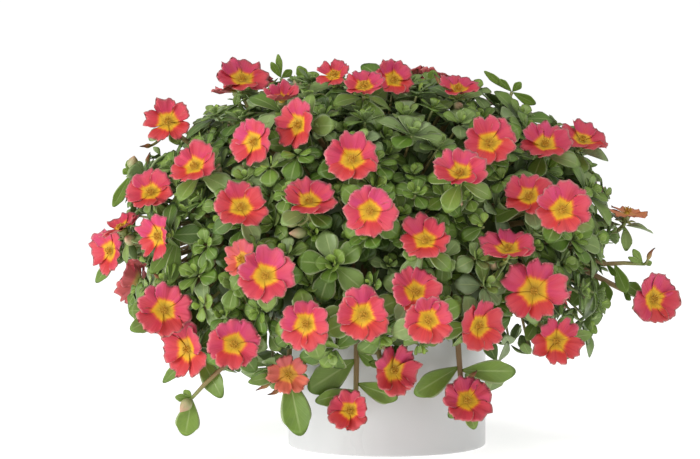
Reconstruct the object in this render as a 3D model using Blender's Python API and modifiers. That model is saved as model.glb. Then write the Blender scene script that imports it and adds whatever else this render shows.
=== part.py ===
"""A portulaca in bloom in a plain white pot. Metres, +Z up, origin at the middle of the pot's underside.

The pot holds a plug of soil. Stems stand in holes in the soil and carry a mound of leafy shoots. Each
bloom sits on its own stalk, over a whorl of leaves, and every leaf near a bloom bends clear of it."""

import math
from collections import namedtuple

import bmesh
import bpy
import numpy as np
from mathutils import Matrix, Vector

# Pot and soil
POT_RADIUS = 0.075
POT_HEIGHT = 0.122
POT_WALL = 0.005
POT_FLOOR = 0.006
POT_SIDES = 36
RIM_ROUND = 0.0015
GAP = 0.0003
SOIL_TOP = 0.110
SOIL_MOUND = 0.003
SOIL_SIDES = 20
SOIL_PROFILE = ((0.0, 1.0), (0.35, 0.4), (0.7, 0.7), (1.0, -1.0))
TURN_MERGE = 0.00001
SOLVER = "MANIFOLD"

# Mound of shoots: a rounded body, fuller below its middle, where the shoots hang over the pot
MOUND_CENTRE = Vector((-0.015, 0.0, 0.150))
MOUND_HALF = (0.183, 0.172)
MOUND_UP = 0.128
MOUND_DOWN = 0.098
ROUND_UP = 2.3
ROUND_DOWN = 3.0
MOUND_LIMIT = 0.4
HALVINGS = 30
NORMAL_STEP = 0.0005
CORE_SHARE = 0.80
CORE_UNDERSIDE = 0.104
CORE_HOLLOW_TOP = POT_HEIGHT + 0.005
CORE_HOLLOW_RADIUS = POT_RADIUS + 0.010
CORE_LEVEL = 3
CORE_PEAK = 0.009

# Roots of shoots in the core: how deep, as a share of the way out, and how far over the pot's hollow
ROOT_SHARE = 0.45
ROOT_LOWEST = CORE_HOLLOW_TOP + 0.020
HANGING_BELOW = CORE_HOLLOW_TOP + 0.030
HANGING_ROOT = CORE_HOLLOW_TOP + 0.040
HANGING_SHARE = 0.60

# Stems in the soil
STEM_RADIUS = 0.0030
STEM_RING = 0.034
STEM_COUNT = 5
STEM_FOOT = 0.092
STEM_HEAD = CORE_HOLLOW_TOP + 0.008
STEM_SIDES = 5
HOLE_SIDES = 7
HOLE_ROOM = 3 * GAP
HOLE_HEAD = SOIL_TOP + 0.02

# Leaves, whose lengths are their real ones; angles are in degrees from a leaf's middle line
LEAF_LENGTH = (0.025, 0.031)
LEAF_RISE = (6.0, 34.0)
LEAF_OUTLINE = ((-29, 0.62), (-14, 0.95), (14, 0.95), (29, 0.62))
LEAF_DROOP = 0.25
LEAF_NECK = 0.0030
LEAF_THICK = 0.0022
HUB_TOP = 0.0015
HUB_RADIUS = 0.0018
BLADE_OUTLINE = ((0.0, 0.0), (0.30, 0.36), (0.68, 0.5), (0.93, 0.30))
BLADE_THICK = 0.0018
BLADE_THICKEST = 0.55
BLADE_EDGE = (0.0, 1.0, 0.3)
BLADE_NEARER = 0.004
SHRINKS = (1.0, 0.8, 0.62, 0.46, 0.3)
BENDS = range(0, 100, 12)

# Leafy shoots between the blooms
SHOOT_SEED = 11
SHOOT_COUNT = 44
SHOOT_TRIES = 900
SHOOT_LEAVES = 5
SHOOT_LOWEST = 1.86
SHOOT_FLATTEN = 0.8
SHOOT_UPWARD = 0.25
SHOOT_DEPTH = (0.91, 1.0)
SHOOT_LEAN = 0.16
POT_CLEARANCE = 0.030
WAY_SHARES = np.linspace(0, 0.8, 20)
GOLDEN_TURN = math.pi * (3 - math.sqrt(5))

# Blooms
PETALS = 5
PETAL_OUTLINE = ((-36, 0.75), (-28, 0.93), (-15, 1.0), (0, 0.92), (15, 1.0), (28, 0.93))
CUP_ANGLE = 20.0
CUP_WAVE = 0.18
EYE_RADIUS = 0.0032
EYE_HEIGHT = 0.0022
BASE_RADIUS = 0.0022
BASE_DEPTH = 0.0070
BLOOM_LIFT = 1.05
BLOOM_MARGIN = 0.0016
BLOOM_FRONT = 0.018
STALK_RADIUS = 0.0015
STALK_STRAIGHT = 0.008
WHORL_BELOW = 0.0028
WHORL_LEAVES = 4
WHORL_LENGTH = (0.022, 0.029)
WHORL_RISE = (-5.0, 22.0)

# The photograph: where its view stands, and the pot in it, in pixels of 700 x 459
FRAME_MIDDLE = (350.0, 229.5)
POT_AXIS_PX = 387.0
POT_WIDTH_PX = 198.0
METRES_A_PIXEL = 2 * POT_RADIUS / POT_WIDTH_PX
VIEW_DISTANCE = 3.0
VIEW_TILT = math.radians(4.5)
SEARCH_BEFORE = 0.22
SEARCH_STEP = 0.0006
SEARCH_STEPS = 500
AIM = Vector(((FRAME_MIDDLE[0] - POT_AXIS_PX) * METRES_A_PIXEL, 0.0, 0.1637))

# Each bloom that the photograph shows: where its eye is and how wide it is, in pixels, how far it is
# turned to the right of the viewer and tilted up, in degrees, how much further out than the mound it
# stands, in millimetres, how steeply its petals rise, and its own depth where it hangs off the mound.
Seen = namedtuple("Seen", "across down wide turn tilt out cup depth", defaults=(0, CUP_ANGLE, None))
SEEN = (
    Seen(242, 80, 53, 10, 50),
    Seen(282, 101, 40, 0, 60, 0, 45),
    Seen(393, 80, 42, 20, 30),
    Seen(364, 87, 42, 0, 55, 16),
    Seen(334, 76, 36, -15, 50),
    Seen(458, 90, 42, 15, 60),
    Seen(168, 122, 50, -8, 30),
    Seen(299, 125, 50, -40, 8),
    Seen(254, 142, 50, -32, 12),
    Seen(195, 167, 50, -30, 38),
    Seen(151, 193, 48, -15, 38),
    Seen(352, 160, 56, 3, 28),
    Seen(489, 143, 54, 0, 20),
    Seen(460, 174, 56, -5, 42, 16),
    Seen(545, 145, 52, 10, 50),
    Seen(582, 141, 52, 35, 55),
    Seen(241, 208, 54, 0, 33),
    Seen(309, 202, 54, 5, 50),
    Seen(370, 211, 53, 0, 5),
    Seen(159, 236, 49, -40, 0),
    Seen(111, 251, 49, -50, 0),
    Seen(122, 229, 46, -70, 55),
    Seen(243, 260, 40, -40, 20),
    Seen(265, 276, 58, 0, 12, 16),
    Seen(425, 241, 52, 0, 42),
    Seen(508, 250, 56, 10, 58),
    Seen(529, 197, 50, -5, 36),
    Seen(562, 210, 55, 0, 18, 30),
    Seen(627, 213, 40, 50, 75, 0, 8),
    Seen(534, 291, 66, 0, 8),
    Seen(653, 299, 54, 32, 5),
    Seen(164, 310, 55, 0, 10),
    Seen(234, 344, 54, 0, 3),
    Seen(188, 349, 58, -42, 0),
    Seen(306, 324, 54, -12, 3),
    Seen(363, 315, 57, 0, 8),
    Seen(415, 292, 50, 0, 20),
    Seen(428, 320, 51, 0, 3, 20),
    Seen(478, 326, 54, 36, 0),
    Seen(556, 341, 53, 15, 0),
    Seen(288, 374, 43, 0, 0, 0, CUP_ANGLE, -0.118),
    Seen(393, 370, 53, 38, 0, 0, CUP_ANGLE, -0.126),
    Seen(350, 411, 43, -15, 15, 0, CUP_ANGLE, -0.112),
    Seen(467, 401, 52, 10, 25, 0, CUP_ANGLE, -0.112),
)

# Single leaves that stand out from the rest in the photograph: the bloom whose stalk bears each, how
# far up that stalk its foot is, as a share, its tip in pixels and its width in pixels.
SeenLeaf = namedtuple("SeenLeaf", "bloom share across down wide")
SEEN_LEAVES = (
    SeenLeaf(44, 0.32, 516, 375, 25),
    SeenLeaf(44, 0.38, 414, 390, 24),
    SeenLeaf(43, 0.22, 398, 393, 22),
    SeenLeaf(43, 0.30, 312, 380, 26),
    SeenLeaf(43, 0.12, 316, 398, 14),
    SeenLeaf(41, 0.02, 301, 435, 26),
    SeenLeaf(41, 0.20, 255, 380, 14),
    SeenLeaf(32, 0.10, 128, 328, 18),
    SeenLeaf(34, 0.05, 164, 382, 12),
    SeenLeaf(34, 0.25, 224, 396, 20),
    SeenLeaf(31, 0.42, 588, 325, 24),
    SeenLeaf(31, 0.20, 637, 316, 12),
    SeenLeaf(31, 0.62, 624, 264, 10),
    SeenLeaf(40, 0.10, 597, 337, 15),
    SeenLeaf(40, 0.15, 528, 347, 14),
    SeenLeaf(29, 0.05, 626, 238, 10),
    SeenLeaf(21, 0.04, 97, 284, 11),
    SeenLeaf(20, 0.25, 168, 272, 16),
    SeenLeaf(11, 0.10, 113, 206, 13),
)

# Twigs with no bloom: their depth in metres, their stem from its tip inwards, in pixels, and the
# leaves that spring from its tip, each as the leaf's own tip and its width in pixels.
Twig = namedtuple("Twig", "depth stem leaves")
TWIGS = (
    Twig(-0.112, ((190, 400), (205, 386), (224, 366)), ((186, 436, 23), (175, 397, 9), (196, 408, 9))),
    Twig(-0.020, ((640, 269), (608, 266)), ((651, 257, 8), (633, 252, 9), (624, 282, 9))),
    Twig(0.045, ((505, 88), (498, 112)), ((484, 70, 9), (497, 71, 10), (515, 76, 12), (531, 97, 11))),
    Twig(0.030, ((281, 72), (286, 92)), ((262, 68, 12), (278, 56, 11), (296, 72, 11))),
    Twig(0.030, ((309, 76), (306, 96)), ((297, 66, 10), (312, 64, 11), (320, 78, 12))),
    Twig(0.035, ((432, 78), (430, 98)), ((420, 70, 11), (438, 66, 12), (446, 80, 12))),
)

# Twigs: how far each stem runs on past its foot of leaves, its sides, and how near its leaves reach
TWIG_END = 0.002
TWIG_SIDES = 4
TWIG_ROLL = 0.4
TWIG_NEARER = 0.003

# Pairs of blooms behind: their heights on the mound, spread to both sides, sizes and second blooms
BACK_SEED = 5
BACK_PAIRS = 12
BACK_TOP = 0.90
BACK_BOTTOM = -0.30
BACK_RADIUS = (0.0180, 0.0208)
BACK_STEP = 1.38
BACK_MIDDLE = math.radians(90)
BACK_SPREAD = math.radians(82)
BACK_START = 0.35
BACK_TURN = 0.618
BACK_AWAY = 0.12
BACK_UPWARD = 0.45
SECOND_LEAN = 0.25
SECOND_ROLL = 0.5

Bloom = namedtuple("Bloom", "name middle axis radius cup roll leaves")


def start_empty():
    """Clears the scene and makes the collections for the parts and for what is joined to them."""
    for obj in list(bpy.data.objects):
        bpy.data.objects.remove(obj, do_unlink=True)
    collections = []
    for name in ("portulaca", "helpers"):
        collection = bpy.data.collections.new(name)
        bpy.context.scene.collection.children.link(collection)
        collections.append(collection)
    return collections


def material(name, colour, roughness):
    """A Principled BSDF material with one colour."""
    made = bpy.data.materials.new(name)
    made.use_nodes = True
    shader = made.node_tree.nodes["Principled BSDF"]
    shader.inputs["Base Color"].default_value = (*colour, 1.0)
    shader.inputs["Roughness"].default_value = roughness
    shader.inputs["Metallic"].default_value = 0.0
    return made


def place(name, mesh, collection, finish=None):
    """An object for a mesh, in a collection."""
    obj = bpy.data.objects.new(name, mesh)
    collection.objects.link(obj)
    if finish:
        mesh.materials.append(finish)
    return obj


def mesh_from(name, shaped):
    """A mesh datablock from a bmesh, which is freed."""
    mesh = bpy.data.meshes.new(name)
    shaped.to_mesh(mesh)
    shaped.free()
    return mesh


def turned(name, profile, steps, collection, finish):
    """A round body: a profile of radius and height, turned about the Z axis by a Screw modifier."""
    mesh = bpy.data.meshes.new(name)
    points = [(radius, 0.0, height) for radius, height in profile]
    mesh.from_pydata(points, [(i, i + 1) for i in range(len(points) - 1)], [])
    obj = place(name, mesh, collection, finish)
    screw = obj.modifiers.new("turn", "SCREW")
    screw.steps = steps
    screw.render_steps = steps
    screw.use_merge_vertices = True
    screw.merge_threshold = TURN_MERGE
    return obj


def stitch(first, count, second, other_count):
    """Triangles between two closed rings of points, where one count is a multiple of the other."""
    if count > other_count:
        return [face[::-1] for face in stitch(second, other_count, first, count)]
    faces = []
    step = other_count // count
    for i in range(count):
        here = first + i
        following = first + (i + 1) % count
        for j in range(step):
            if other_count > 1:
                faces.append((here, second + i * step + j, second + (i * step + j + 1) % other_count))
        if following != here:
            faces.append((here, second + ((i + 1) * step) % other_count, following))
    return faces


def loft(name, rings):
    """A closed mesh through rings of points. Each is a pole or a loop, and their counts may differ."""
    rings = [np.reshape(ring, (-1, 3)) for ring in rings]
    starts = np.concatenate([[0], np.cumsum([len(ring) for ring in rings])])
    faces = []
    for i in range(len(rings) - 1):
        faces += stitch(int(starts[i]), len(rings[i]), int(starts[i + 1]), len(rings[i + 1]))
    mesh = bpy.data.meshes.new(name)
    mesh.from_pydata(np.concatenate(rings).tolist(), [], faces)
    shaped = bmesh.new()
    shaped.from_mesh(mesh)
    bmesh.ops.recalc_face_normals(shaped, faces=shaped.faces)
    if shaped.calc_volume(signed=True) < 0:
        bmesh.ops.reverse_faces(shaped, faces=shaped.faces)
    shaped.to_mesh(mesh)
    shaped.free()
    return mesh


def combine(base, helpers, operation):
    """Joins or cuts base with every object of the helpers collection, then removes them."""
    modifier = base.modifiers.new("combine", "BOOLEAN")
    modifier.operand_type = "COLLECTION"
    modifier.collection = helpers
    modifier.operation = operation
    modifier.solver = SOLVER
    graph = bpy.context.evaluated_depsgraph_get()
    joined = bpy.data.meshes.new_from_object(base.evaluated_get(graph), depsgraph=graph)
    base.modifiers.clear()
    base.data = joined
    for obj in list(helpers.objects):
        bpy.data.objects.remove(obj, do_unlink=True)


def mound_measure(point):
    """Under 1 inside the mound and 1 on its surface: a sum of powers of the shares of its half sizes."""
    x, y, z = Vector(point) - MOUND_CENTRE
    power = ROUND_UP if z > 0 else ROUND_DOWN
    height = z / (MOUND_UP if z > 0 else MOUND_DOWN)
    reach = math.hypot(x / MOUND_HALF[0], y / MOUND_HALF[1])
    return reach**power + abs(height) ** power


def mound_point(direction, share=1.0):
    """Where a ray from the mound's centre leaves it, or that share of the way."""
    direction = Vector(direction).normalized()
    low, high = 0.0, MOUND_LIMIT
    for _ in range(HALVINGS):
        middle = (low + high) / 2
        inside = mound_measure(MOUND_CENTRE + direction * middle) < 1
        low, high = (middle, high) if inside else (low, middle)
    return MOUND_CENTRE + direction * low * share


def mound_normal(point):
    """The way out of the mound at a point, from differences of its measure."""
    slopes = []
    for axis in range(3):
        offset = Vector((0, 0, 0))
        offset[axis] = NORMAL_STEP
        slopes.append(mound_measure(point + offset) - mound_measure(point - offset))
    return Vector(slopes).normalized()


def root_point(point):
    """Where a shoot grows from: deep in the core, or behind its lower edge where the shoot hangs."""
    outward = point - MOUND_CENTRE
    if point.z < HANGING_BELOW:
        flat = Vector((outward.x, outward.y, 0))
        base = MOUND_CENTRE + flat.normalized() * min(flat.length, HANGING_SHARE * MOUND_HALF[1])
        return Vector((base.x, base.y, HANGING_ROOT))
    inner = mound_point(outward, ROOT_SHARE)
    return Vector((inner.x, inner.y, max(inner.z, ROOT_LOWEST)))


def view_ray(across, down):
    """The place that the photograph is seen from, and the way from it through a pixel."""
    forward = Vector((0, math.cos(VIEW_TILT), -math.sin(VIEW_TILT)))
    up = Vector((0, math.sin(VIEW_TILT), math.cos(VIEW_TILT)))
    focal = VIEW_DISTANCE / METRES_A_PIXEL
    ray = forward + Vector((1, 0, 0)) * ((across - FRAME_MIDDLE[0]) / focal)
    return AIM - forward * VIEW_DISTANCE, ray - up * ((down - FRAME_MIDDLE[1]) / focal)


def at_depth(across, down, depth):
    """The point on a pixel's ray at a depth along Y."""
    start, ray = view_ray(across, down)
    return start + ray * ((depth - start.y) / ray.y)


def seen_point(seen):
    """The place of a bloom's eye: on its pixel's ray, where the ray meets the mound or comes nearest."""
    if seen.depth is not None:
        return at_depth(seen.across, seen.down, seen.depth)
    start, ray = view_ray(seen.across, seen.down)
    best = None
    for i in range(SEARCH_STEPS):
        point = start + ray * (VIEW_DISTANCE - SEARCH_BEFORE + SEARCH_STEP * i)
        measure = mound_measure(MOUND_CENTRE + (point - MOUND_CENTRE) / BLOOM_LIFT)
        if best is None or measure < best[0]:
            best = (measure, point)
        if measure < 1:
            break
    return best[1] - ray.normalized() * seen.out * 0.001


def facing(turn, tilt):
    """The way a bloom looks, turned right from the viewer and tilted up, in degrees."""
    turn, tilt = math.radians(turn), math.radians(tilt)
    flat = math.cos(tilt)
    return Vector((math.sin(turn) * flat, -math.cos(turn) * flat, math.sin(tilt)))


def front_blooms():
    """The blooms of the photograph, in its order."""
    rng = np.random.default_rng(BACK_SEED)
    blooms = []
    for number, seen in enumerate(SEEN, 1):
        middle = seen_point(seen)
        nearness = (VIEW_DISTANCE + middle.y) / VIEW_DISTANCE
        radius = seen.wide * METRES_A_PIXEL * nearness / 2
        roll = rng.uniform(0, 2 * math.pi / PETALS)
        axis = facing(seen.turn, seen.tilt)
        name = f"bloom_{number:02d}"
        blooms.append(Bloom(name, middle, axis, radius, seen.cup, roll, WHORL_LEAVES))
    return blooms


def back_blooms():
    """Pairs of blooms spread over the far side of the mound, whose petals overlap."""
    rng = np.random.default_rng(BACK_SEED)
    blooms = []
    for i in range(BACK_PAIRS):
        height = BACK_TOP + (BACK_BOTTOM - BACK_TOP) * (i + 0.5) / BACK_PAIRS
        angle = BACK_MIDDLE + BACK_SPREAD * (2 * ((i * BACK_TURN + BACK_START) % 1) - 1)
        flat = math.sqrt(1 - height**2)
        direction = Vector((flat * math.cos(angle), flat * math.sin(angle) + BACK_AWAY, height))
        first = mound_point(direction, BLOOM_LIFT)
        axis = (mound_normal(first) + Vector((0, 0, BACK_UPWARD))).normalized()
        radius = rng.uniform(*BACK_RADIUS)
        step = Matrix.Rotation(rng.uniform(0, 2 * math.pi), 3, axis) @ axis.orthogonal().normalized()
        roll = rng.uniform(0, 2 * math.pi / PETALS)
        name = f"bloom_pair_{i + 1:02d}"
        blooms.append(Bloom(name, first, axis, radius, CUP_ANGLE, roll, WHORL_LEAVES - 1))
        second = first + step * radius * BACK_STEP
        lean = (axis + step * SECOND_LEAN).normalized()
        roll += SECOND_ROLL
        blooms.append(Bloom(name, second, lean, radius, CUP_ANGLE, roll, WHORL_LEAVES - 1))
    return blooms


def in_frame(middle, axis, roll, local):
    """Points given as side, other side and along an axis, put in place and turned by roll."""
    axis = Vector(axis).normalized()
    side = Vector((0, 0, 1)).cross(axis)
    if side.length < 1e-4:
        side = Vector((1, 0, 0))
    side = Matrix.Rotation(roll, 3, axis) @ side.normalized()
    frame = np.array([side, axis.cross(side), axis])
    return np.reshape(local, (-1, 3)) @ frame + np.array(middle)


def loop(count, radius, height):
    """A level ring of points."""
    angles = 2 * math.pi * np.arange(count) / count
    return np.stack([radius * np.cos(angles), radius * np.sin(angles), np.full(count, height)], 1)


def bloom_mesh(bloom):
    """Five notched petals in one cupped blade, with the raised eye in the middle and a flat base."""
    turns, shares = np.array(PETAL_OUTLINE).T
    petals = np.repeat(np.arange(PETALS), len(turns)) * 360 / PETALS
    angles = np.radians(petals + np.tile(turns, PETALS))
    reaches = np.tile(shares, PETALS) * bloom.radius
    rise = math.radians(bloom.cup) * (1 + CUP_WAVE * np.cos(2.5 * angles + bloom.roll * 3))
    flat = reaches * np.cos(rise)
    outline = np.stack([flat * np.cos(angles), flat * np.sin(angles), reaches * np.sin(rise)], 1)
    rings = (
        [0, 0, EYE_HEIGHT],
        loop(PETALS, EYE_RADIUS, 0.0),
        outline,
        loop(PETALS, BASE_RADIUS, -BASE_DEPTH),
        [0, 0, -BASE_DEPTH],
    )
    return loft(bloom.name, [in_frame(bloom.middle, bloom.axis, bloom.roll, ring) for ring in rings])


def is_clear(points, blooms):
    """True where no point is in a bloom, close under its petals or just in front of its face."""
    for bloom in blooms:
        away = points - np.array(bloom.middle)
        height = away @ np.array(bloom.axis)
        reach = np.sqrt(np.maximum((away**2).sum(1) - height**2, 0))
        rim = bloom.radius * math.sin(math.radians(bloom.cup) * (1 - CUP_WAVE))
        slope = (rim + BASE_DEPTH) / (bloom.radius - BASE_RADIUS)
        under = -BASE_DEPTH + slope * (reach - BASE_RADIUS)
        under = np.minimum(under, rim) - BLOOM_MARGIN
        near = (reach < bloom.radius + BLOOM_MARGIN) & (height > under) & (height < BLOOM_FRONT)
        if near.any():
            return False
    return True


def leaf_outline(position, length, rise):
    """One leaf of a whorl, after the notch beside it: out along its rise, and drooping to its end."""
    turns, shares = np.array(LEAF_OUTLINE).T
    angles = position + np.radians(turns)
    reach = shares * length
    flat = reach * math.cos(rise)
    height = reach * math.sin(rise) - LEAF_DROOP * reach**2 / length
    return np.stack([flat * np.cos(angles), flat * np.sin(angles), height], 1)


def clear_leaf(position, length, rise, middle, axis, roll, blooms):
    """A leaf's outline in place, bent back and then shortened until no bloom is in its way."""
    for shrink in SHRINKS:
        for bend in BENDS:
            outline = leaf_outline(position, length * shrink, rise - math.radians(bend))
            outline = in_frame(middle, axis, roll, outline)
            halves = (outline + np.array(middle)) / 2
            across = (outline + np.roll(outline, 1, 0)) / 2
            if is_clear(np.concatenate([outline, halves, across]), blooms):
                return outline
    return outline


def whorl_outline(count, lengths, rises, middle, axis, roll, blooms):
    """The outline round a whorl of leaves, with a notch before each leaf."""
    notches = in_frame(middle, axis, roll - math.pi / count, loop(count, LEAF_NECK, 0.0))
    parts = []
    for i in range(count):
        position = 2 * math.pi * i / count
        leaf = clear_leaf(position, lengths[i], math.radians(rises[i]), middle, axis, roll, blooms)
        parts += [notches[i : i + 1], leaf]
    return np.concatenate(parts)


def shoot_mesh(tip, axis, roll, lengths, rises, blooms):
    """A whorl of leaves at the tip of a shoot, which tapers to its root in the core."""
    rings = (
        in_frame(tip, axis, roll, [0, 0, HUB_TOP]),
        whorl_outline(SHOOT_LEAVES, lengths, rises, tip, axis, roll, blooms),
        in_frame(tip, axis, roll, loop(SHOOT_LEAVES, HUB_RADIUS, -LEAF_THICK)),
        root_point(tip),
    )
    return loft("shoot", rings)


def stalk_path(bloom):
    """The middle line of a bloom's stalk: its seat, its bend and its root."""
    seat = bloom.middle - bloom.axis * (BASE_DEPTH + GAP)
    bend = seat - bloom.axis * (WHORL_BELOW + LEAF_THICK + STALK_STRAIGHT)
    return seat, bend, root_point(bend)


def stalk_mesh(bloom, lengths, rises, blooms):
    """A stalk with a flat seat under its bloom, a whorl of leaves below that, a bend, and its root."""
    seat, bend, root = stalk_path(bloom)
    whorl = seat - bloom.axis * WHORL_BELOW
    bent = (bloom.axis + (bend - root).normalized()).normalized()
    rings = (
        seat,
        in_frame(seat, bloom.axis, bloom.roll, loop(bloom.leaves, BASE_RADIUS, 0.0)),
        whorl_outline(bloom.leaves, lengths, rises, whorl, bloom.axis, bloom.roll, blooms),
        in_frame(whorl, bloom.axis, bloom.roll, loop(bloom.leaves, HUB_RADIUS, -LEAF_THICK)),
        in_frame(bend, bent, bloom.roll, loop(bloom.leaves, STALK_RADIUS, 0.0)),
        root,
    )
    return loft("stalk", rings)


def blade_mesh(foot, tip, width):
    """One flat leaf from its foot to its tip, widest past its middle, its face to the viewer."""
    along = tip - foot
    side = along.cross(Vector(BLADE_EDGE)).normalized()
    face = side.cross(along).normalized()
    right = [foot + along * share + side * width * wide for share, wide in BLADE_OUTLINE]
    left = [foot + along * share - side * width * wide for share, wide in BLADE_OUTLINE[:0:-1]]
    middle = foot + along * BLADE_THICKEST
    rings = (middle + face * BLADE_THICK / 2, [*right, tip, *left], middle - face * BLADE_THICK / 2)
    return loft("blade", rings)


def twig_meshes(twig):
    """A bare stem from its root in the core to its tip, with the leaves that spring from the tip."""
    points = [at_depth(across, down, twig.depth) for across, down in twig.stem]
    points.append(root_point(points[-1]))
    rings = [points[0] + (points[0] - points[1]).normalized() * TWIG_END]
    for before, point, after in zip([points[0], *points], points[:-1], points[1:]):
        rings.append(in_frame(point, before - after, TWIG_ROLL, loop(TWIG_SIDES, STALK_RADIUS, 0.0)))
    meshes = [loft("twig", [*rings, points[-1]])]
    for across, down, wide in twig.leaves:
        tip = at_depth(across, down, twig.depth - TWIG_NEARER)
        meshes.append(blade_mesh(points[0], tip, wide * METRES_A_PIXEL))
    return meshes


def seen_leaf_mesh(leaf, blooms):
    """One of the photograph's single leaves, its foot on the stalk that bears it."""
    _, bend, root = stalk_path(blooms[leaf.bloom - 1])
    foot = bend.lerp(root, leaf.share)
    tip = at_depth(leaf.across, leaf.down, foot.y - BLADE_NEARER)
    return blade_mesh(foot, tip, leaf.wide * METRES_A_PIXEL)


def shoot_places(blooms):
    """Tips, axes, rolls, leaf lengths and leaf rises of the shoots. Of many spots on the mound, each
    next one is the spot that is furthest from every bloom and from the shoots before it."""
    rng = np.random.default_rng(SHOOT_SEED)
    spots = []
    for i in range(SHOOT_TRIES):
        height = 1 - SHOOT_LOWEST * (i + 0.5) / SHOOT_TRIES
        flat = math.sqrt(1 - height**2)
        turn = GOLDEN_TURN * i
        direction = Vector((flat * math.cos(turn), flat * math.sin(turn), height * SHOOT_FLATTEN))
        tip = mound_point(direction, rng.uniform(*SHOOT_DEPTH))
        low = math.hypot(tip.x, tip.y) < POT_RADIUS + POT_CLEARANCE and tip.z < POT_HEIGHT
        way = np.array([tip.lerp(root_point(tip), share) for share in WAY_SHARES])
        if not low and is_clear(way, blooms):
            spots.append(tip)
    room = np.full(len(spots), 1.0)
    for bloom in blooms:
        room = np.minimum(room, distances(spots, bloom.middle))
    found = []
    for _ in range(SHOOT_COUNT):
        tip = spots[int(room.argmax())]
        room = np.minimum(room, distances(spots, tip))
        lean = Vector((0, 0, SHOOT_UPWARD)) + Vector(rng.normal(0, SHOOT_LEAN, 3))
        axis = (mound_normal(tip) + lean).normalized()
        roll = rng.uniform(0, 2 * math.pi)
        lengths = rng.uniform(*LEAF_LENGTH, SHOOT_LEAVES)
        rises = rng.uniform(*LEAF_RISE, SHOOT_LEAVES)
        found.append((tip, axis, roll, lengths, rises))
    return found


def distances(points, other):
    """How far each point is from another one."""
    return np.linalg.norm(np.array(points) - np.array(other), axis=1)


def make_pot(parts):
    """A straight round pot with a soft rim, turned from its profile."""
    inner = POT_RADIUS - POT_WALL
    middle = POT_RADIUS - POT_WALL / 2
    half = POT_WALL / 2
    rim = []
    for step in range(4):
        angle = math.pi * (1 - step / 3)
        rim.append((middle + half * math.cos(angle), POT_HEIGHT - RIM_ROUND + RIM_ROUND * math.sin(angle)))
    profile = [(0.0, POT_FLOOR), (inner, POT_FLOOR), *rim]
    profile += [(POT_RADIUS, RIM_ROUND), (POT_RADIUS - RIM_ROUND, 0.0), (0.0, 0.0)]
    turned("pot", profile, POT_SIDES, parts, material("glazed white", (0.84, 0.84, 0.85), 0.28))


def stem_feet():
    """Where the main stems stand in the soil."""
    angles = 2 * math.pi * (np.arange(STEM_COUNT) + 0.25) / STEM_COUNT
    ring = [(STEM_RING * math.cos(angle), STEM_RING * math.sin(angle)) for angle in angles]
    return [(0.0, 0.0), *ring]


def rod(x, y, radius, low, high, sides):
    """An upright round rod."""
    shaped = bmesh.new()
    where = Matrix.Translation((x, y, (low + high) / 2))
    bmesh.ops.create_cone(
        shaped, cap_ends=True, segments=sides, radius1=radius, radius2=radius, depth=high - low, matrix=where
    )
    return mesh_from("rod", shaped)


def make_soil(parts, helpers):
    """A plug of soil that fills the pot, a little higher in the middle, with a hole for each stem."""
    outer = POT_RADIUS - POT_WALL - GAP * 1.5
    floor = POT_FLOOR + GAP
    profile = [(outer * reach, SOIL_TOP + SOIL_MOUND * rise) for reach, rise in SOIL_PROFILE]
    profile += [(outer, floor), (0.0, floor)]
    finish = material("potting soil", (0.07, 0.045, 0.03), 0.95)
    soil = turned("soil", profile, SOIL_SIDES, parts, finish)
    for x, y in stem_feet():
        mesh = rod(x, y, STEM_RADIUS + HOLE_ROOM, STEM_FOOT - GAP, HOLE_HEAD, HOLE_SIDES)
        place("hole", mesh, helpers)
    combine(soil, helpers, "DIFFERENCE")


def core_mesh():
    """The packed middle of the mound: a ball of triangles drawn out to the mound's form, made smaller,
    cut level underneath, with each triangle raised to a low peak."""
    shaped = bmesh.new()
    bmesh.ops.create_icosphere(shaped, subdivisions=CORE_LEVEL, radius=1.0)
    bmesh.ops.poke(shaped, faces=shaped.faces)
    for vert in shaped.verts:
        peak = CORE_PEAK if len(vert.link_edges) == 3 else 0.0
        vert.co = mound_point(vert.co, CORE_SHARE)
        vert.co += (vert.co - MOUND_CENTRE).normalized() * peak
    cut = bmesh.ops.bisect_plane(
        shaped,
        geom=[*shaped.verts, *shaped.edges, *shaped.faces],
        plane_co=(0, 0, CORE_UNDERSIDE),
        plane_no=(0, 0, -1),
        clear_outer=True,
    )
    edges = [item for item in cut["geom_cut"] if isinstance(item, bmesh.types.BMEdge)]
    bmesh.ops.contextual_create(shaped, geom=edges)
    bmesh.ops.recalc_face_normals(shaped, faces=shaped.faces)
    return mesh_from("core", shaped)


def make_foliage(parts, helpers, blooms):
    """The green of the plant in one solid: core, stems, shoots, stalks, twigs and single leaves."""
    rng = np.random.default_rng(BACK_SEED)
    foliage = place("foliage", core_mesh(), parts, material("leaf", (0.10, 0.22, 0.07), 0.5))
    place("hollow", rod(0.0, 0.0, CORE_HOLLOW_RADIUS, 0.0, CORE_HOLLOW_TOP, SOIL_SIDES), helpers)
    combine(foliage, helpers, "DIFFERENCE")
    meshes = [rod(x, y, STEM_RADIUS, STEM_FOOT, STEM_HEAD, STEM_SIDES) for x, y in stem_feet()]
    meshes += [shoot_mesh(*shoot, blooms) for shoot in shoot_places(blooms)]
    for bloom in blooms:
        lengths = rng.uniform(*WHORL_LENGTH, bloom.leaves)
        rises = rng.uniform(*WHORL_RISE, bloom.leaves)
        meshes.append(stalk_mesh(bloom, lengths, rises, blooms))
    for twig in TWIGS:
        meshes += twig_meshes(twig)
    meshes += [seen_leaf_mesh(leaf, blooms) for leaf in SEEN_LEAVES]
    for mesh in meshes:
        place(mesh.name, mesh, helpers)
    combine(foliage, helpers, "UNION")


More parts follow.
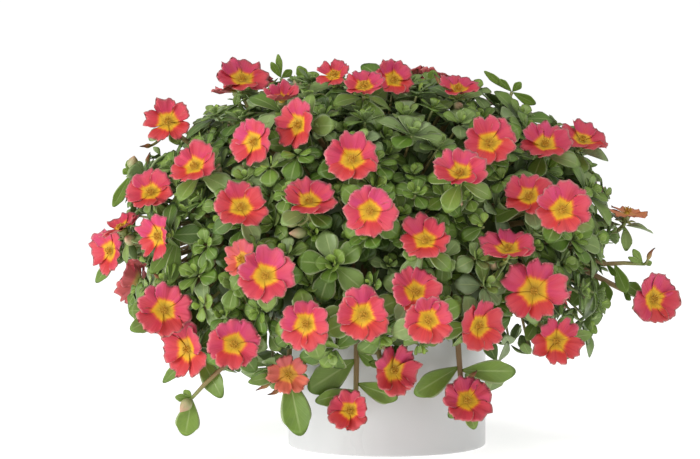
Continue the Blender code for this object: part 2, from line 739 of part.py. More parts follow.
def make_blooms(parts, helpers, blooms):
    """One node for each bloom of the front, and one for each overlapping pair behind."""
    petal = material("petal", (0.80, 0.05, 0.12), 0.5)
    made = {}
    for bloom in blooms:
        if bloom.name in made:
            place("second", bloom_mesh(bloom), helpers)
            combine(made[bloom.name], helpers, "UNION")
        else:
            made[bloom.name] = place(bloom.name, bloom_mesh(bloom), parts, petal)


def main():
    parts, helpers = start_empty()
    blooms = front_blooms() + back_blooms()
    make_pot(parts)
    make_soil(parts, helpers)
    make_foliage(parts, helpers, blooms)
    make_blooms(parts, helpers, blooms)


main()
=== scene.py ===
"""A portulaca in full bloom in a plain white pot, with the finish of every piece. Metres, +Z up.

The blooms, shoots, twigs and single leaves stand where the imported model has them, by the same named
values, rules and seeds, and smaller rosettes of leaves fill the mound between them. Each blade, stem
and petal is worked out as a grid of points by the formula that its function states."""

import math
from collections import namedtuple

import bpy
import numpy as np
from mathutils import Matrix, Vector


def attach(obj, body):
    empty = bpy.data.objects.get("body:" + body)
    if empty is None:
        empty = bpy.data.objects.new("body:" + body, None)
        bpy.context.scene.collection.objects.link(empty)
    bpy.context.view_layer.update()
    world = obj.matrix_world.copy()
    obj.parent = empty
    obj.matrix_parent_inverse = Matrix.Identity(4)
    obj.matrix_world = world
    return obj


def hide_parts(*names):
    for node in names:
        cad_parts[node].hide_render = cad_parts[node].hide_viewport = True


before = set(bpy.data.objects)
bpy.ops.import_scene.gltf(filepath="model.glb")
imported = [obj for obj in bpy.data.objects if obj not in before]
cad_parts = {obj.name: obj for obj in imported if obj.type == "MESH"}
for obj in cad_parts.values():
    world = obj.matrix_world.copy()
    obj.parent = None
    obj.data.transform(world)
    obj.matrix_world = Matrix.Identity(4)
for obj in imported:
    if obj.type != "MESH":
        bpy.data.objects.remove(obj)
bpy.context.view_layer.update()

# Pot and soil
POT_RADIUS = 0.075
POT_HEIGHT = 0.122
POT_WALL = 0.005
POT_FLOOR = 0.006
POT_STEPS = 128
RIM_ROUND = 0.0015
RIM_STEPS = 8
FOOT_STEPS = 5
FOOT_FLAT = 0.05
INNER_BEVEL = 0.003
WALL_RINGS = 5
WALL_BELOW_RIM = 0.004
WALL_ABOVE_FOOT = 0.002
GAP = 0.0003
SOIL_TOP = 0.110
SOIL_DOME = 0.003
SOIL_STEPS = 120
SOIL_RINGS = np.linspace(0.02, 0.985, 60)
SOIL_LUMPS = 0.0006
SOIL_PACES = (150, 260, 420, 700, 1100, 1500)
SOIL_EDGE = 0.006
SOIL_SIDES = (SOIL_TOP - 0.003, SOIL_TOP - 0.02)
CRUMBS = 220
CRUMB_SIZE = (0.0010, 0.0032)
CRUMB_FORM = np.array((0.25, 0.5, 0.55, 0.42, 0.15))
CRUMB_SIDES = 6
CRUMB_REACH = 0.94
PALE_ABOVE = 0.86

# Mound of shoots: a rounded body, fuller below its middle, where the shoots hang over the pot
MOUND_CENTRE = np.array((-0.015, 0.0, 0.150))
MOUND_HALF = (0.183, 0.172)
MOUND_UP = 0.128
MOUND_DOWN = 0.098
ROUND_UP = 2.3
ROUND_DOWN = 3.0
CORE_SHARE = 0.74
CORE_UNDERSIDE = 0.106
CORE_HOLLOW_TOP = POT_HEIGHT + 0.005
CORE_HOLLOW_RADIUS = POT_RADIUS + 0.010
CORE_GRID = (34, 72)
CORE_UNEVEN = 0.025
MOUND_FAR = 0.4
HALVINGS = 30
SLOPE_STEP = 0.0005
SPIRAL_FLATTER = 0.8
GOLDEN_TURN = math.pi * (3 - math.sqrt(5))

# Roots of the shoots: how far out they are, as a share of the way, and how high they are at least. A
# shoot that hangs lower than a height has its root behind it, nearer the pot's axis.
ROOT_SHARE = 0.45
ROOT_LOWEST = CORE_HOLLOW_TOP + 0.020
HANGING_BELOW = CORE_HOLLOW_TOP + 0.030
HANGING_ROOT = CORE_HOLLOW_TOP + 0.040
HANGING_SHARE = 0.60

# Stems: the main ones in the soil, and the radii with which each kind starts at its tip and ends
STEM_RADIUS = 0.0030
STEM_RING = 0.034
STEM_COUNT = 5
STEM_FOOT = 0.092
STEM_SPREAD = 1.25
STEM_HEAD = CORE_HOLLOW_TOP + 0.03
STEM_STRAIGHT = 0.020
STEM_WOODY = 0.8
SHOOT_SAG = 0.006
SHOOT_PULLS = (0.2, 0.45)
STALK_PULL = 0.3
STALK_RADII = (0.0015, 0.0026)
SHOOT_RADII = (0.0009, 0.0016)
TWIG_RADII = (0.0013, 0.0021)
SHORT_RADII = (0.0012, 0.0010)
SHORT_WOODY = 0.1

# How many points along and sides round each kind of stem has, and points tried along a stem or a twig
STEM_DETAIL = (8, 10)
STALK_DETAIL = (12, 8)
SHOOT_DETAIL = (6, 5)
TWIG_DETAIL = (10, 8)
SHORT_DETAIL = (8, 6)
STALK_TRIED = 80
TWIG_TRIED = 40

# Leaves: lengths are in metres, rises and outlines in degrees. A leaf widens with a power of the share
# of its length, and tapers with another. One that meets a bloom is bent and shortened step by step.
LEAF_LENGTH = (0.025, 0.031)
LEAF_RISE = (6.0, 34.0)
LEAF_OUTLINE = ((-29, 0.62), (-14, 0.95), (14, 0.95), (29, 0.62))
LEAF_DROOP = 0.25
LEAF_THICK = 0.0011
LEAF_KEEL = 0.20
LEAF_TIP = 0.20
LEAF_FOOT_OUT = 0.0012
KEEL_BY_TONE = (0.4, 1.4)
WIDEN_BY, WIDEN_POWER = 1.19, 0.95
TAPER_FROM, TAPER_BY, TAPER_POWER = 1.62, 0.96, 2.2
THICK_WITHIN = 4
SHRINKS = (1.0, 0.8, 0.62, 0.46, 0.3)
BENDS = range(0, 100, 12)
BEND_STEP = math.radians(14)
BEND_SHRINK = 0.95
LAST_SHRINK = 0.7
LEAF_TRIES = 4

# Grids of a leaf, coarse to fine: shares of its length, and shares of its half width
LEAF_GRID = (np.array((0.0, 0.16, 0.36, 0.58, 0.80, 1.0)), np.array((-1.0, -0.5, 0.0, 0.5, 1.0)))
BIG_GRID = (
    np.array((0.0, 0.10, 0.26, 0.46, 0.66, 0.85, 1.0)),
    np.array((-1.0, -0.72, -0.36, 0.0, 0.36, 0.72, 1.0)),
)
FINE_GRID = (np.linspace(0, 1, 12), np.linspace(-1, 1, 11))

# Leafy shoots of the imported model
SHOOT_SEED = 11
SHOOT_COUNT = 44
SHOOT_TRIES = 900
SHOOT_LEAVES = 5
SHOOT_DEPTH = (0.91, 1.0)
SHOOT_SPAN = 1.86
SHOOT_UP = 0.25
SHOOT_LEAN = 0.16
SHOOT_SLENDER = 0.66
SHOOT_YOUNG = 0.1
POT_CLEARANCE = 0.030
STEM_SHARES = np.linspace(0, 0.8, 20)

# Young leaves in the middle of each shoot, from the lowest to the topmost
YOUNG_SHARES = np.linspace(0.25, 1, 7)
YOUNG_LENGTHS = 0.021 * (1.12 - 0.80 * YOUNG_SHARES)
YOUNG_RISES = 30 + 42 * YOUNG_SHARES
YOUNG_RISES_VARY = 8
YOUNG_LIFT = 0.0035
YOUNG_SLENDER = 0.74
YOUNG_POWER = 1.5
YOUNG_TRIES = 3

# Smaller rosettes between them, and the plain leaves in the shade behind
ROSETTE_SEED = 23
ROSETTE_TRIES = 3600
ROSETTE_COUNT = 410
ROSETTE_LEAVES = 9
ROSETTE_LENGTH = (0.0135, 0.0215)
ROSETTE_LOWEST = 0.094
ROSETTE_DEPTH = (0.86, 0.99)
ROSETTE_SPAN = 1.84
ROSETTE_UP = 0.35
ROSETTE_LEAN = 0.28
ROSETTE_SHORTEN = (0.62, 1.3)
ROSETTE_LENGTHS_VARY = (0.88, 1.12)
ROSETTE_YOUNG = (0.5, 1.0)
ROSETTE_RISE = (4, 66, 9)
ROSETTE_TWIST = 0.15
ROSETTE_TONES = (0.6, 0.4)
ROSETTE_LIFT = 0.004
ROSETTE_SLENDER = 0.78
SHADE_SEED = 31
SHADE_COUNT = 1300
SHADE_LENGTH = (0.016, 0.024)
SHADE_DEPTH = (0.74, 0.90)
SHADE_SPAN = 1.86
SHADE_CLEARANCE = 0.012
SHADE_LEAN = 0.5
SHADE_RISE = (-5, 60)
SHADE_TONE = 0.7
SHADE_SLENDER = 0.72
SHADE_TRIES = 2
# Painted shade: the share of their own green that the shaded leaves' finish keeps; the rest is a dark
# shade green
SHADE_LIGHT = 0.55

# Blooms
PETALS = 5
CUP_ANGLE = 20.0
CUP_WAVE = 0.18
CUP_WAVES, CUP_WAVES_START = 2.5, 3
BASE_RADIUS = 0.0022
BASE_DEPTH = 0.0070
BLOOM_LIFT = 1.05
BLOOM_MARGIN = 0.0016
BLOOM_FRONT = 0.018
BLOOM_SHOWN = 0.96
EDGE_ON = -0.05
STALK_STRAIGHT = 0.008
WHORL_BELOW = 0.0028
WHORL_LEAVES = 4
WHORL_LENGTH = (0.022, 0.029)
WHORL_RISE = (-5.0, 22.0)
WHORL_SLENDER = 0.62
WHORL_YOUNG = 0.3
WHORL_HIDDEN = 0.92
SEPALS = 4
SEPAL_LENGTH = 0.0085
SEPAL_RISE = 12
SEPAL_SLENDER = 0.46
SEPAL_TONE = 0.7
SEPAL_YOUNG = 0.8

# Petals: sizes are shares of the bloom's radius. Of a ripple, wave or crease, the first number is its
# size and the last is how many radians it goes through over half of the petal's width, and the middle
# one of a wave is the power of the reach with which it grows.
PETAL_SEED = 47
PETAL_HALF = math.radians(50.0)
NARROW_HALF = math.radians(39.0)
PETAL_THICK = 0.0004
PETAL_GRID = (np.array((0.0, 0.16, 0.34, 0.52, 0.70, 0.86, 1.0)), np.linspace(-1, 1, 17))
PETAL_LENGTH = 1.07
PETAL_LENGTHS_VARY = 0.038
PETAL_TURNS_VARY = 0.035
PETAL_WIDTHS_VARY = 0.03
PETAL_RISES_VARY = 0.06
PETAL_ROUND = 0.44
NOTCH = (0.05, 0.12)
NOTCH_WIDE = 0.20
RIPPLES = ((0.034, 9), (0.026, 17))
BOWL = 0.07
BOWL_POWER = 0.8
PETAL_THICK_WITHIN = 5
WAVES = ((0.070, 2, 5), (0.052, 4, 12))
WAVES_CALM = 0.5
CREASES = (0.012, 16)
FURROW = (0.030, 0.16)
SLANT = (0.080, 0.005)
CURL = (0.12, -0.3, 1)
# How pink a petal is: a random blush, plus a painted sky reflection that grows as the petal looks up
BLUSH_AND_SKY_PINK = (0.42, 0.60)
BLUSH_VARIES = (0.16, 0.10)

# Middles of the blooms: filaments with their anthers, the heart below them, and the cup underneath
STAMENS = 26
STAMEN_REACH = (0.0006, 0.0034)
STAMEN_HEIGHT = (0.0030, 0.0058)
STAMEN_VARIES = (0.2, 0.0003, 0.0005)
STAMEN_FOOT = 0.0012
STAMEN_BEND = 1.3
FILAMENT_SHARES = np.array((0.0, 0.35, 0.70, 0.84, 0.92, 1.0))
FILAMENT_RADII = (0.00022, 0.00018, 0.00018, 0.00042, 0.00046, 0.00016)
FILAMENT_COLOURS = (0.0, 0.1, 0.3, 0.9, 1.0, 1.0)
FILAMENT_SIDES = 5
HEART_ENDS = (-0.001, 0.0014)
HEART_RADII = (0.0024, 0.0023, 0.0017, 0.0006)
HEART_COLOURS = (0.0, 0.2, 0.4, 0.5)
HEART_SIDES = 10
CUP_FOOT = BASE_DEPTH + 0.0006
CUP_HEAD = 0.0004
CUP_RADII = (0.0016, 0.0024, 0.0028, 0.0031, 0.0036, 0.0030)
CUP_SIDES = 12

# Buds and withered flowers
BUD_RADII = np.array((0.0014, 0.0030, 0.0041, 0.0045, 0.0040, 0.0030, 0.0017, 0.0004))
BUD_SIDES = 12
BUD_LENGTH = (0.0120, 0.0145)
BUD_SIZES = (0.85, 1.05)
BUD_MIDDLE = 0.45
BUD_LEANS = 0.7
BUD_OUT, BUD_UP, BUD_VARIES = 0.6, 0.9, 0.22
FAR_SIDE = -0.02
DRY_RADII = np.array((1.1, 1.7, 1.9, 1.6, 1.1, 0.8, 0.6, 0.3)) * 0.001
DRY_SIDES = 8
DRY_FOOT = 0.005
DRY_UP, DRY_VARIES, DRY_BENT = 0.3, 0.2, 0.5
DRY_STRAIGHT = (0.004, 0.007)
DRY_TIP = 0.004
SHORT_BEND = 0.005
SHORT_PULL = 0.4
SHORT_INTO = 0.001
TIP_NEARER = 0.005

# The photograph: where its view stands, and the pot in it, in pixels of 700 x 459
FRAME_SIZE = (700, 459)
POT_AXIS_PX = 387.0
POT_WIDTH_PX = 198.0
METRES_A_PIXEL = 2 * POT_RADIUS / POT_WIDTH_PX
VIEW_DISTANCE = 3.0
VIEW_TILT = math.radians(4.5)
AIM = np.array(((FRAME_SIZE[0] / 2 - POT_AXIS_PX) * METRES_A_PIXEL, 0.0, 0.1637))
FORWARD = np.array((0.0, math.cos(VIEW_TILT), -math.sin(VIEW_TILT)))
VIEW_UP = np.array((0.0, math.sin(VIEW_TILT), math.cos(VIEW_TILT)))
SENSOR_WIDTH = 36.0
RAY_PLACES = VIEW_DISTANCE - 0.22 + 0.0006 * np.arange(500)
RIM_SHADOW = 0.010

# Single leaves of the photograph: how much nearer than their feet their tips start, the step by which
# they go further away, how often they may, and how their faces lean towards the viewer
SINGLE_NEARER = 0.014
SINGLE_STEP = 0.006
SINGLE_TRIES = 9
SINGLE_FACE = (0.0, 1.0, 0.3)
SINGLE_TONE = (0.46, 0.12)
TWIG_TONE = (0.5, 0.35)
TWIG_TIP_NEARER = 0.003

# Each bloom that the photograph shows: where its eye is and how wide it is, in pixels, how far it is
# turned to the right of the viewer and tilted up, in degrees, how much further out than the mound it
# stands, in millimetres, how steeply its petals rise, and its own depth where it hangs off the mound.
Seen = namedtuple("Seen", "across down wide turn tilt out cup depth", defaults=(0, CUP_ANGLE, None))
SEEN = (
    Seen(242, 80, 53, 10, 50),
    Seen(282, 101, 40, 0, 60, 0, 45),
    Seen(393, 80, 42, 20, 30),
    Seen(364, 87, 42, 0, 55, 16),
    Seen(334, 76, 36, -15, 50),
    Seen(458, 90, 42, 15, 60),
    Seen(168, 122, 50, -8, 30),
    Seen(299, 125, 50, -40, 8),
    Seen(254, 142, 50, -32, 12),
    Seen(195, 167, 50, -30, 38),
    Seen(151, 193, 48, -15, 38),
    Seen(352, 160, 56, 3, 28),
    Seen(489, 143, 54, 0, 20),
    Seen(460, 174, 56, -5, 42, 16),
    Seen(545, 145, 52, 10, 50),
    Seen(582, 141, 52, 35, 55),
    Seen(241, 208, 54, 0, 33),
    Seen(309, 202, 54, 5, 50),
    Seen(370, 211, 53, 0, 5),
    Seen(159, 236, 49, -40, 0),
    Seen(111, 251, 49, -50, 0),
    Seen(122, 229, 46, -70, 55),
    Seen(243, 260, 40, -40, 20),
    Seen(265, 276, 58, 0, 12, 16),
    Seen(425, 241, 52, 0, 42),
    Seen(508, 250, 56, 10, 58),
    Seen(529, 197, 50, -5, 36),
    Seen(562, 210, 55, 0, 18, 30),
    Seen(627, 213, 40, 50, 75, 0, 8),
    Seen(534, 291, 66, 0, 8),
    Seen(653, 299, 54, 32, 5),
    Seen(164, 310, 55, 0, 10),
    Seen(234, 344, 54, 0, 3),
    Seen(188, 349, 58, -42, 0),
    Seen(306, 324, 54, -12, 3),
    Seen(363, 315, 57, 0, 8),
    Seen(415, 292, 50, 0, 20),
    Seen(428, 320, 51, 0, 3, 20),
    Seen(478, 326, 54, 36, 0),
    Seen(556, 341, 53, 15, 0),
    Seen(288, 374, 43, 0, 0, 0, CUP_ANGLE, -0.118),
    Seen(393, 370, 53, 38, 0, 0, CUP_ANGLE, -0.126),
    Seen(350, 411, 43, -15, 15, 0, CUP_ANGLE, -0.112),
    Seen(467, 401, 52, 10, 25, 0, CUP_ANGLE, -0.112),
)
FADED = {29: 1.0, 41: 0.45, 23: 0.25}
NARROW = (5, 7, 20, 30, 40, 41)

# Blooms whose own whorl the photograph hides behind their petals
HIDDEN_WHORLS = (1, 7, 21, 31, 41, 42, 43, 44)

# Single leaves that stand out from the rest in the photograph: the bloom whose stalk bears each or,
# below nought, its twig, and its foot, its tip and its width in pixels.
SeenLeaf = namedtuple("SeenLeaf", "bearer foot_across foot_down across down wide")
SEEN_LEAVES = (
    SeenLeaf(44, 466, 369, 516, 371, 26),
    SeenLeaf(44, 452, 367, 414, 394, 26),
    SeenLeaf(43, 358, 384, 398, 398, 22),
    SeenLeaf(43, 353, 358, 308, 390, 33),
    SeenLeaf(43, 357, 352, 375, 364, 14),
    SeenLeaf(43, 354, 390, 315, 401, 18),
    SeenLeaf(41, 298, 392, 301, 436, 30),
    SeenLeaf(41, 262, 371, 248, 382, 13),
    SeenLeaf(32, 141, 303, 130, 330, 19),
    SeenLeaf(34, 176, 366, 163, 383, 12),
    SeenLeaf(34, 204, 384, 222, 398, 21),
    SeenLeaf(31, 595, 281, 590, 323, 25),
    SeenLeaf(31, 592, 281, 571, 305, 20),
    SeenLeaf(31, 600, 284, 608, 303, 15),
    SeenLeaf(-2, 614, 264, 627, 293, 14),
    SeenLeaf(31, 622, 290, 631, 300, 8),
    SeenLeaf(-2, 606, 264, 617, 276, 7),
    SeenLeaf(40, 574, 334, 593, 334, 15),
    SeenLeaf(40, 540, 318, 526, 340, 15),
    SeenLeaf(29, 616, 228, 618, 238, 7),
    SeenLeaf(29, 618, 226, 626, 229, 6),
    SeenLeaf(21, 118, 258, 96, 283, 12),
    SeenLeaf(20, 178, 266, 150, 274, 15),
    SeenLeaf(20, 178, 268, 170, 286, 15),
)

# Twigs with no bloom: their depth in metres, their stem from its tip inwards, in pixels, and the
# leaves that spring from its tip, each as the leaf's own tip and its width in pixels.
Twig = namedtuple("Twig", "depth stem leaves")
TWIGS = (
    Twig(-0.112, ((192, 398), (203, 386), (224, 366)), ((185, 436, 24), (175, 397, 9), (184, 390, 8))),
    Twig(-0.020, ((643, 264), (624, 263), (606, 264)), ((633, 249, 8), (652, 262, 7), (628, 257, 6))),
    Twig(0.045, ((512, 92), (504, 112)), ((484, 71, 8), (499, 79, 8), (521, 82, 9), (536, 104, 11))),
    Twig(0.030, ((281, 78), (286, 92)), ((271, 62, 8), (278, 54, 7), (292, 70, 9))),
    Twig(0.030, ((309, 84), (306, 96)), ((298, 66, 12), (314, 76, 9), (302, 88, 9))),
    Twig(0.035, ((430, 86), (428, 98)), ((434, 70, 12), (420, 80, 10), (440, 86, 10))),
    Twig(0.020, ((131, 174), (142, 178), (156, 184)), ((113, 207, 12), (123, 169, 9), (128, 160, 8))),
)

# Buds and withered flowers of the photograph: the bloom or, below nought, the twig that bears each,
# and the place of its middle in pixels
Tip = namedtuple("Tip", "bearer across down")
BUDS = (
    Tip(42, 369, 349), Tip(42, 384, 344), Tip(39, 450, 305), Tip(39, 464, 300), Tip(18, 299, 233),
    Tip(18, 290, 222), Tip(14, 457, 203), Tip(6, 458, 107), Tip(5, 321, 99), Tip(26, 494, 265),
    Tip(-7, 133, 163), Tip(-1, 186, 405), Tip(22, 130, 240), Tip(10, 217, 172),
)
WITHERED = (
    Tip(44, 451, 397), Tip(44, 474, 374), Tip(41, 263, 387), Tip(41, 274, 393), Tip(7, 146, 146),
    Tip(-7, 148, 158), Tip(-2, 650, 253), Tip(6, 438, 80), Tip(32, 157, 276), Tip(27, 509, 204),
)

# Gaps between the shoots through which the photograph shows the pot or the background: where each
# is and how wide, in pixels
Gap = namedtuple("Gap", "across down wide")
GAPS = (
    Gap(181, 250, 16), Gap(192, 316, 9), Gap(135, 272, 22), Gap(116, 286, 30), Gap(100, 305, 50),
    Gap(120, 340, 50), Gap(150, 347, 28), Gap(150, 395, 70), Gap(203, 373, 14), Gap(226, 386, 24),
    Gap(244, 398, 30), Gap(270, 402, 22), Gap(320, 420, 26), Gap(347, 350, 9), Gap(347, 377, 10),
    Gap(367, 369, 15), Gap(385, 422, 48), Gap(425, 425, 44), Gap(438, 358, 22), Gap(430, 374, 12),
    Gap(446, 346, 10), Gap(466, 352, 18), Gap(483, 352, 10), Gap(519, 331, 20), Gap(508, 346, 24),
    Gap(528, 366, 36), Gap(560, 380, 40), Gap(571, 302, 12), Gap(627, 306, 22), Gap(613, 341, 30),
    Gap(613, 276, 8), Gap(608, 252, 9), Gap(634, 242, 18), Gap(524, 88, 18), Gap(540, 100, 22),
    Gap(562, 112, 20), Gap(195, 110, 18), Gap(206, 96, 18), Gap(186, 123, 12), Gap(220, 96, 16),
    Gap(230, 100, 10), Gap(166, 147, 12), Gap(143, 223, 12), Gap(165, 201, 10), Gap(188, 230, 8),
    Gap(244, 105, 9), Gap(516, 322, 12), Gap(172, 245, 10), Gap(186, 256, 8), Gap(262, 84, 12),
    Gap(600, 280, 7), Gap(612, 285, 7), Gap(120, 216, 14),
)

# The far side, which the photograph doesn't show: its pairs of blooms, and its buds
BACK_SEED = 5
BACK_PAIRS = 12
BACK_TOP = 0.90
BACK_BOTTOM = -0.30
BACK_START = 0.35
BACK_TURN = 0.618
BACK_SPREAD = 82
BACK_OUT = 0.12
BACK_UP = 0.45
BACK_RADIUS = (0.0180, 0.0208)
BACK_STEP = 1.38
BACK_LEAN = 0.25
BACK_ROLL = 0.5
BACK_BUDS = 40

# Colours, as shares of red, green and blue; a run of them has its places from 0 to 1
LEAF_GREENS = (
    (0.0, (0.052, 0.112, 0.009)), (0.35, (0.103, 0.200, 0.018)), (0.62, (0.165, 0.260, 0.042)),
    (0.85, (0.225, 0.310, 0.120)), (1.0, (0.320, 0.400, 0.260)),
)
YOUNG_GREEN = (0.300, 0.440, 0.062)
MOTTLED_GREEN = (0.060, 0.105, 0.026)
RIB_GREEN = (0.400, 0.500, 0.190)
VEIN_GREEN = (0.300, 0.380, 0.150)
RIM_GREEN = (0.500, 0.580, 0.310)
UNDERSIDE_GREEN = (0.260, 0.330, 0.160)
# Painted shade, mixed into the finish of the shaded leaves and the core deep in the mound
PAINTED_SHADE_GREEN = (0.010, 0.020, 0.006)
DEEP_RED = (0.580, 0.032, 0.026)
ROSE_PINK = (0.590, 0.048, 0.160)
CORAL_RED = (0.620, 0.056, 0.054)
OUTER_PINK = (0.640, 0.115, 0.150)
LINE_RED = (0.450, 0.016, 0.040)
EYE_GOLDS = (
    (0.0, (0.440, 0.260, 0.030)), (0.14, (0.540, 0.330, 0.028)), (0.24, (0.650, 0.390, 0.022)),
    (0.32, (0.760, 0.410, 0.018)),
)
EYE_ORANGE = (0.740, 0.170, 0.022)
PALE_EDGE = (0.790, 0.410, 0.350)
FADED_ORANGE = (0.720, 0.300, 0.110)
UNDER_YELLOW = (0.560, 0.520, 0.180)
UNDER_PINK = (0.760, 0.160, 0.170)
PETAL_SHEEN = (1.0, 0.45, 0.55, 1.0)
STEM_COLOURS = (
    (0.0, (0.230, 0.320, 0.085)), (0.22, (0.260, 0.260, 0.080)), (0.50, (0.260, 0.175, 0.062)),
    (1.0, (0.170, 0.110, 0.042)),
)
STEM_RED = (0.260, 0.120, 0.070)
STAMEN_GOLDS = ((0.0, (0.660, 0.400, 0.040)), (0.5, (0.660, 0.410, 0.035)), (1.0, (0.580, 0.320, 0.025)))
HEART_OCHRES = ((0.0, (0.560, 0.370, 0.040)), (1.0, (0.700, 0.450, 0.040)))
BUD_CREAMS = ((0.0, (0.230, 0.290, 0.090)), (0.5, (0.420, 0.420, 0.200)), (1.0, (0.640, 0.340, 0.240)))
DRY_BROWNS = ((0.0, (0.420, 0.330, 0.120)), (0.5, (0.300, 0.120, 0.050)), (1.0, (0.030, 0.018, 0.014)))
GLAZE_WHITE = (0.715, 0.715, 0.722)
GLAZE_CLOUD = (0.690, 0.690, 0.698)
GLAZE_FOOT = (0.640, 0.635, 0.630)
SOIL_BROWNS = ((0.25, (0.020, 0.012, 0.007)), (0.5, (0.055, 0.034, 0.020)), (0.8, (0.120, 0.078, 0.045)))
SOIL_FIBRE = (0.190, 0.140, 0.090)
SOIL_GRIT = (0.620, 0.600, 0.560)
PAPER = (0.85, 0.85, 0.85, 1.0)
WHITE = (1.0, 1.0, 1.0, 1.0)

# Patterns of the finishes: the scales of their noise, a leaf's side veins, and how far from the middle
# of a bloom its golden eye ends, as shares of a petal's reach
LEAF_MOTTLE, LEAF_CLOUD = 95.0, 28.0
STEM_STREAK = 160.0
PART_SPECKLE = 420.0
GLAZE_CLOUDS, GLAZE_GRAIN = 14.0, 900.0
SOIL_COARSE, SOIL_FINE = 180.0, 900.0
PETAL_LINES = (9.0, 1.1)
PETAL_PATCHES = (1.2, 1.2)
GREEN_BY_TONE, GREEN_BY_CLOUD = 0.85, 0.2
VEIN_COUNT, VEIN_SLANT = 7.0, 3.2
EYE_BORDER = (0.335, 0.40)
EYE_END = (0.375, 0.49)
EYE_ANGULAR = 0.36
EYE_RAGGED = 0.14

# The studio: the strength of its surroundings, half the floor's side, and its lights, each with its
# name, place, width and power
SURROUNDINGS = 0.40
FLOOR_HALF = 30.0
FARTHEST_SEEN = 100.0
FLOOR_GLOW = 0.68
LIGHTS = (
    ("key", (-1.7, -2.2, 1.7), 1.4, 24.0),
    ("high", (1.2, -1.2, 2.5), 1.2, 22.0),
    ("low", (-2.6, -1.3, 0.35), 1.0, 40.0),
)

Bloom = namedtuple("Bloom", "name middle axis radius cup roll leaves")
Leaves = namedtuple("Leaves", "foot along up fall length droop wide keel tone young")


# Directions and places

def unit(vectors):
    """Vectors of length 1."""
    return vectors / np.linalg.norm(vectors, axis=-1, keepdims=True)


def mound_measure(points):
    """Under 1 inside the mound and 1 on its surface: a sum of powers of the shares of its half sizes."""
    offset = points - MOUND_CENTRE
    above = offset[..., 2] > 0
    power = np.where(above, ROUND_UP, ROUND_DOWN)
    height = np.abs(offset[..., 2]) / np.where(above, MOUND_UP, MOUND_DOWN)
    reach = np.hypot(offset[..., 0] / MOUND_HALF[0], offset[..., 1] / MOUND_HALF[1])
    return reach**power + height**power


def mound_point(directions, share=1.0):
    """Where rays from the mound's centre leave it, or that share of the way, by halving a distance."""
    directions = unit(np.asarray(directions, float))
    low = np.zeros(directions.shape[:-1] + (1,))
    high = low + MOUND_FAR
    for _ in range(HALVINGS):
        middle = (low + high) / 2
        inside = mound_measure(MOUND_CENTRE + directions * middle)[..., None] < 1
        low, high = np.where(inside, middle, low), np.where(inside, high, middle)
    return MOUND_CENTRE + directions * low * np.expand_dims(share, -1)


def mound_normal(points):
    """The way out of the mound at each point, from differences of its measure."""
    steps = SLOPE_STEP * np.eye(3)
    slopes = [mound_measure(points + step) - mound_measure(points - step) for step in steps]
    return unit(np.stack(slopes, -1))


def root_point(points):
    """Where shoots grow from: deep in the core, or behind its lower edge where the shoot hangs."""
    outward = points - MOUND_CENTRE
    flat = outward * (1, 1, 0)
    reach = np.linalg.norm(flat, axis=-1, keepdims=True)
    hanging = MOUND_CENTRE + flat / reach * np.minimum(reach, HANGING_SHARE * MOUND_HALF[1])
    hanging[..., 2] = HANGING_ROOT
    inner = mound_point(outward, ROOT_SHARE)
    inner[..., 2] = np.maximum(inner[..., 2], ROOT_LOWEST)
    return np.where(points[..., 2:] < HANGING_BELOW, hanging, inner)


def spread(count, span, depth, rng):
    """Places all over the mound, from its top down, each a golden turn round it from the last. Span is
    how far down they go, of 2, and depth says between which shares of the way out each one lies."""
    number = np.arange(count)
    height = 1 - span * (number + 0.5) / count
    flat = np.sqrt(1 - height**2)
    turn = GOLDEN_TURN * number
    directions = np.stack([flat * np.cos(turn), flat * np.sin(turn), height * SPIRAL_FLATTER], 1)
    return mound_point(directions, rng.uniform(*depth, count))


def view_ray(across, down):
    """The place that the photograph is seen from, and the way from it through a pixel."""
    focal = VIEW_DISTANCE / METRES_A_PIXEL
    sideways = np.array((1.0, 0.0, 0.0)) * (across - FRAME_SIZE[0] / 2) / focal
    ray = FORWARD + sideways - VIEW_UP * (down - FRAME_SIZE[1] / 2) / focal
    return AIM - FORWARD * VIEW_DISTANCE, ray


def at_depth(across, down, depth):
    """The point on a pixel's ray at a depth along Y."""
    start, ray = view_ray(across, down)
    return start + ray * ((depth - start[1]) / ray[1])


def seen_at(points):
    """The pixels of the photograph at which points are seen, across and down."""
    away = points - (AIM - FORWARD * VIEW_DISTANCE)
    focal = VIEW_DISTANCE / METRES_A_PIXEL / (away @ FORWARD)
    return FRAME_SIZE[0] / 2 + away[..., 0] * focal, FRAME_SIZE[1] / 2 - (away @ VIEW_UP) * focal


def in_gap(points):
    """For each point, whether it stands in one of the photograph's gaps, nearer or further away, and
    isn't hidden behind the pot."""
    across, down = seen_at(points)
    found = np.zeros(points.shape[:-1], bool)
    for gap in GAPS:
        found |= np.hypot(across - gap.across, down - gap.down) < gap.wide / 2
    low = points[..., 2] < POT_HEIGHT + RIM_SHADOW
    hidden = low & (points[..., 1] > 0) & (np.abs(points[..., 0]) < POT_RADIUS)
    return found & ~hidden


def seen_point(across, down, out):
    """The place seen at a pixel: where its ray meets the mound, lifted to the height of the blooms, or
    comes nearest to it, and then as many millimetres nearer as out says."""
    start, ray = view_ray(across, down)
    points = start + ray * RAY_PLACES[:, None]
    measure = mound_measure(MOUND_CENTRE + (points - MOUND_CENTRE) / BLOOM_LIFT)
    inside = np.flatnonzero(measure < 1)
    best = inside[0] if len(inside) else measure.argmin()
    return points[best] - unit(ray) * out * 0.001


def facing(turn, tilt):
    """The way a bloom looks, turned right from the viewer and tilted up, in degrees."""
    turn, tilt = math.radians(turn), math.radians(tilt)
    flat = math.cos(tilt)
    return np.array((math.sin(turn) * flat, -math.cos(turn) * flat, math.sin(tilt)))


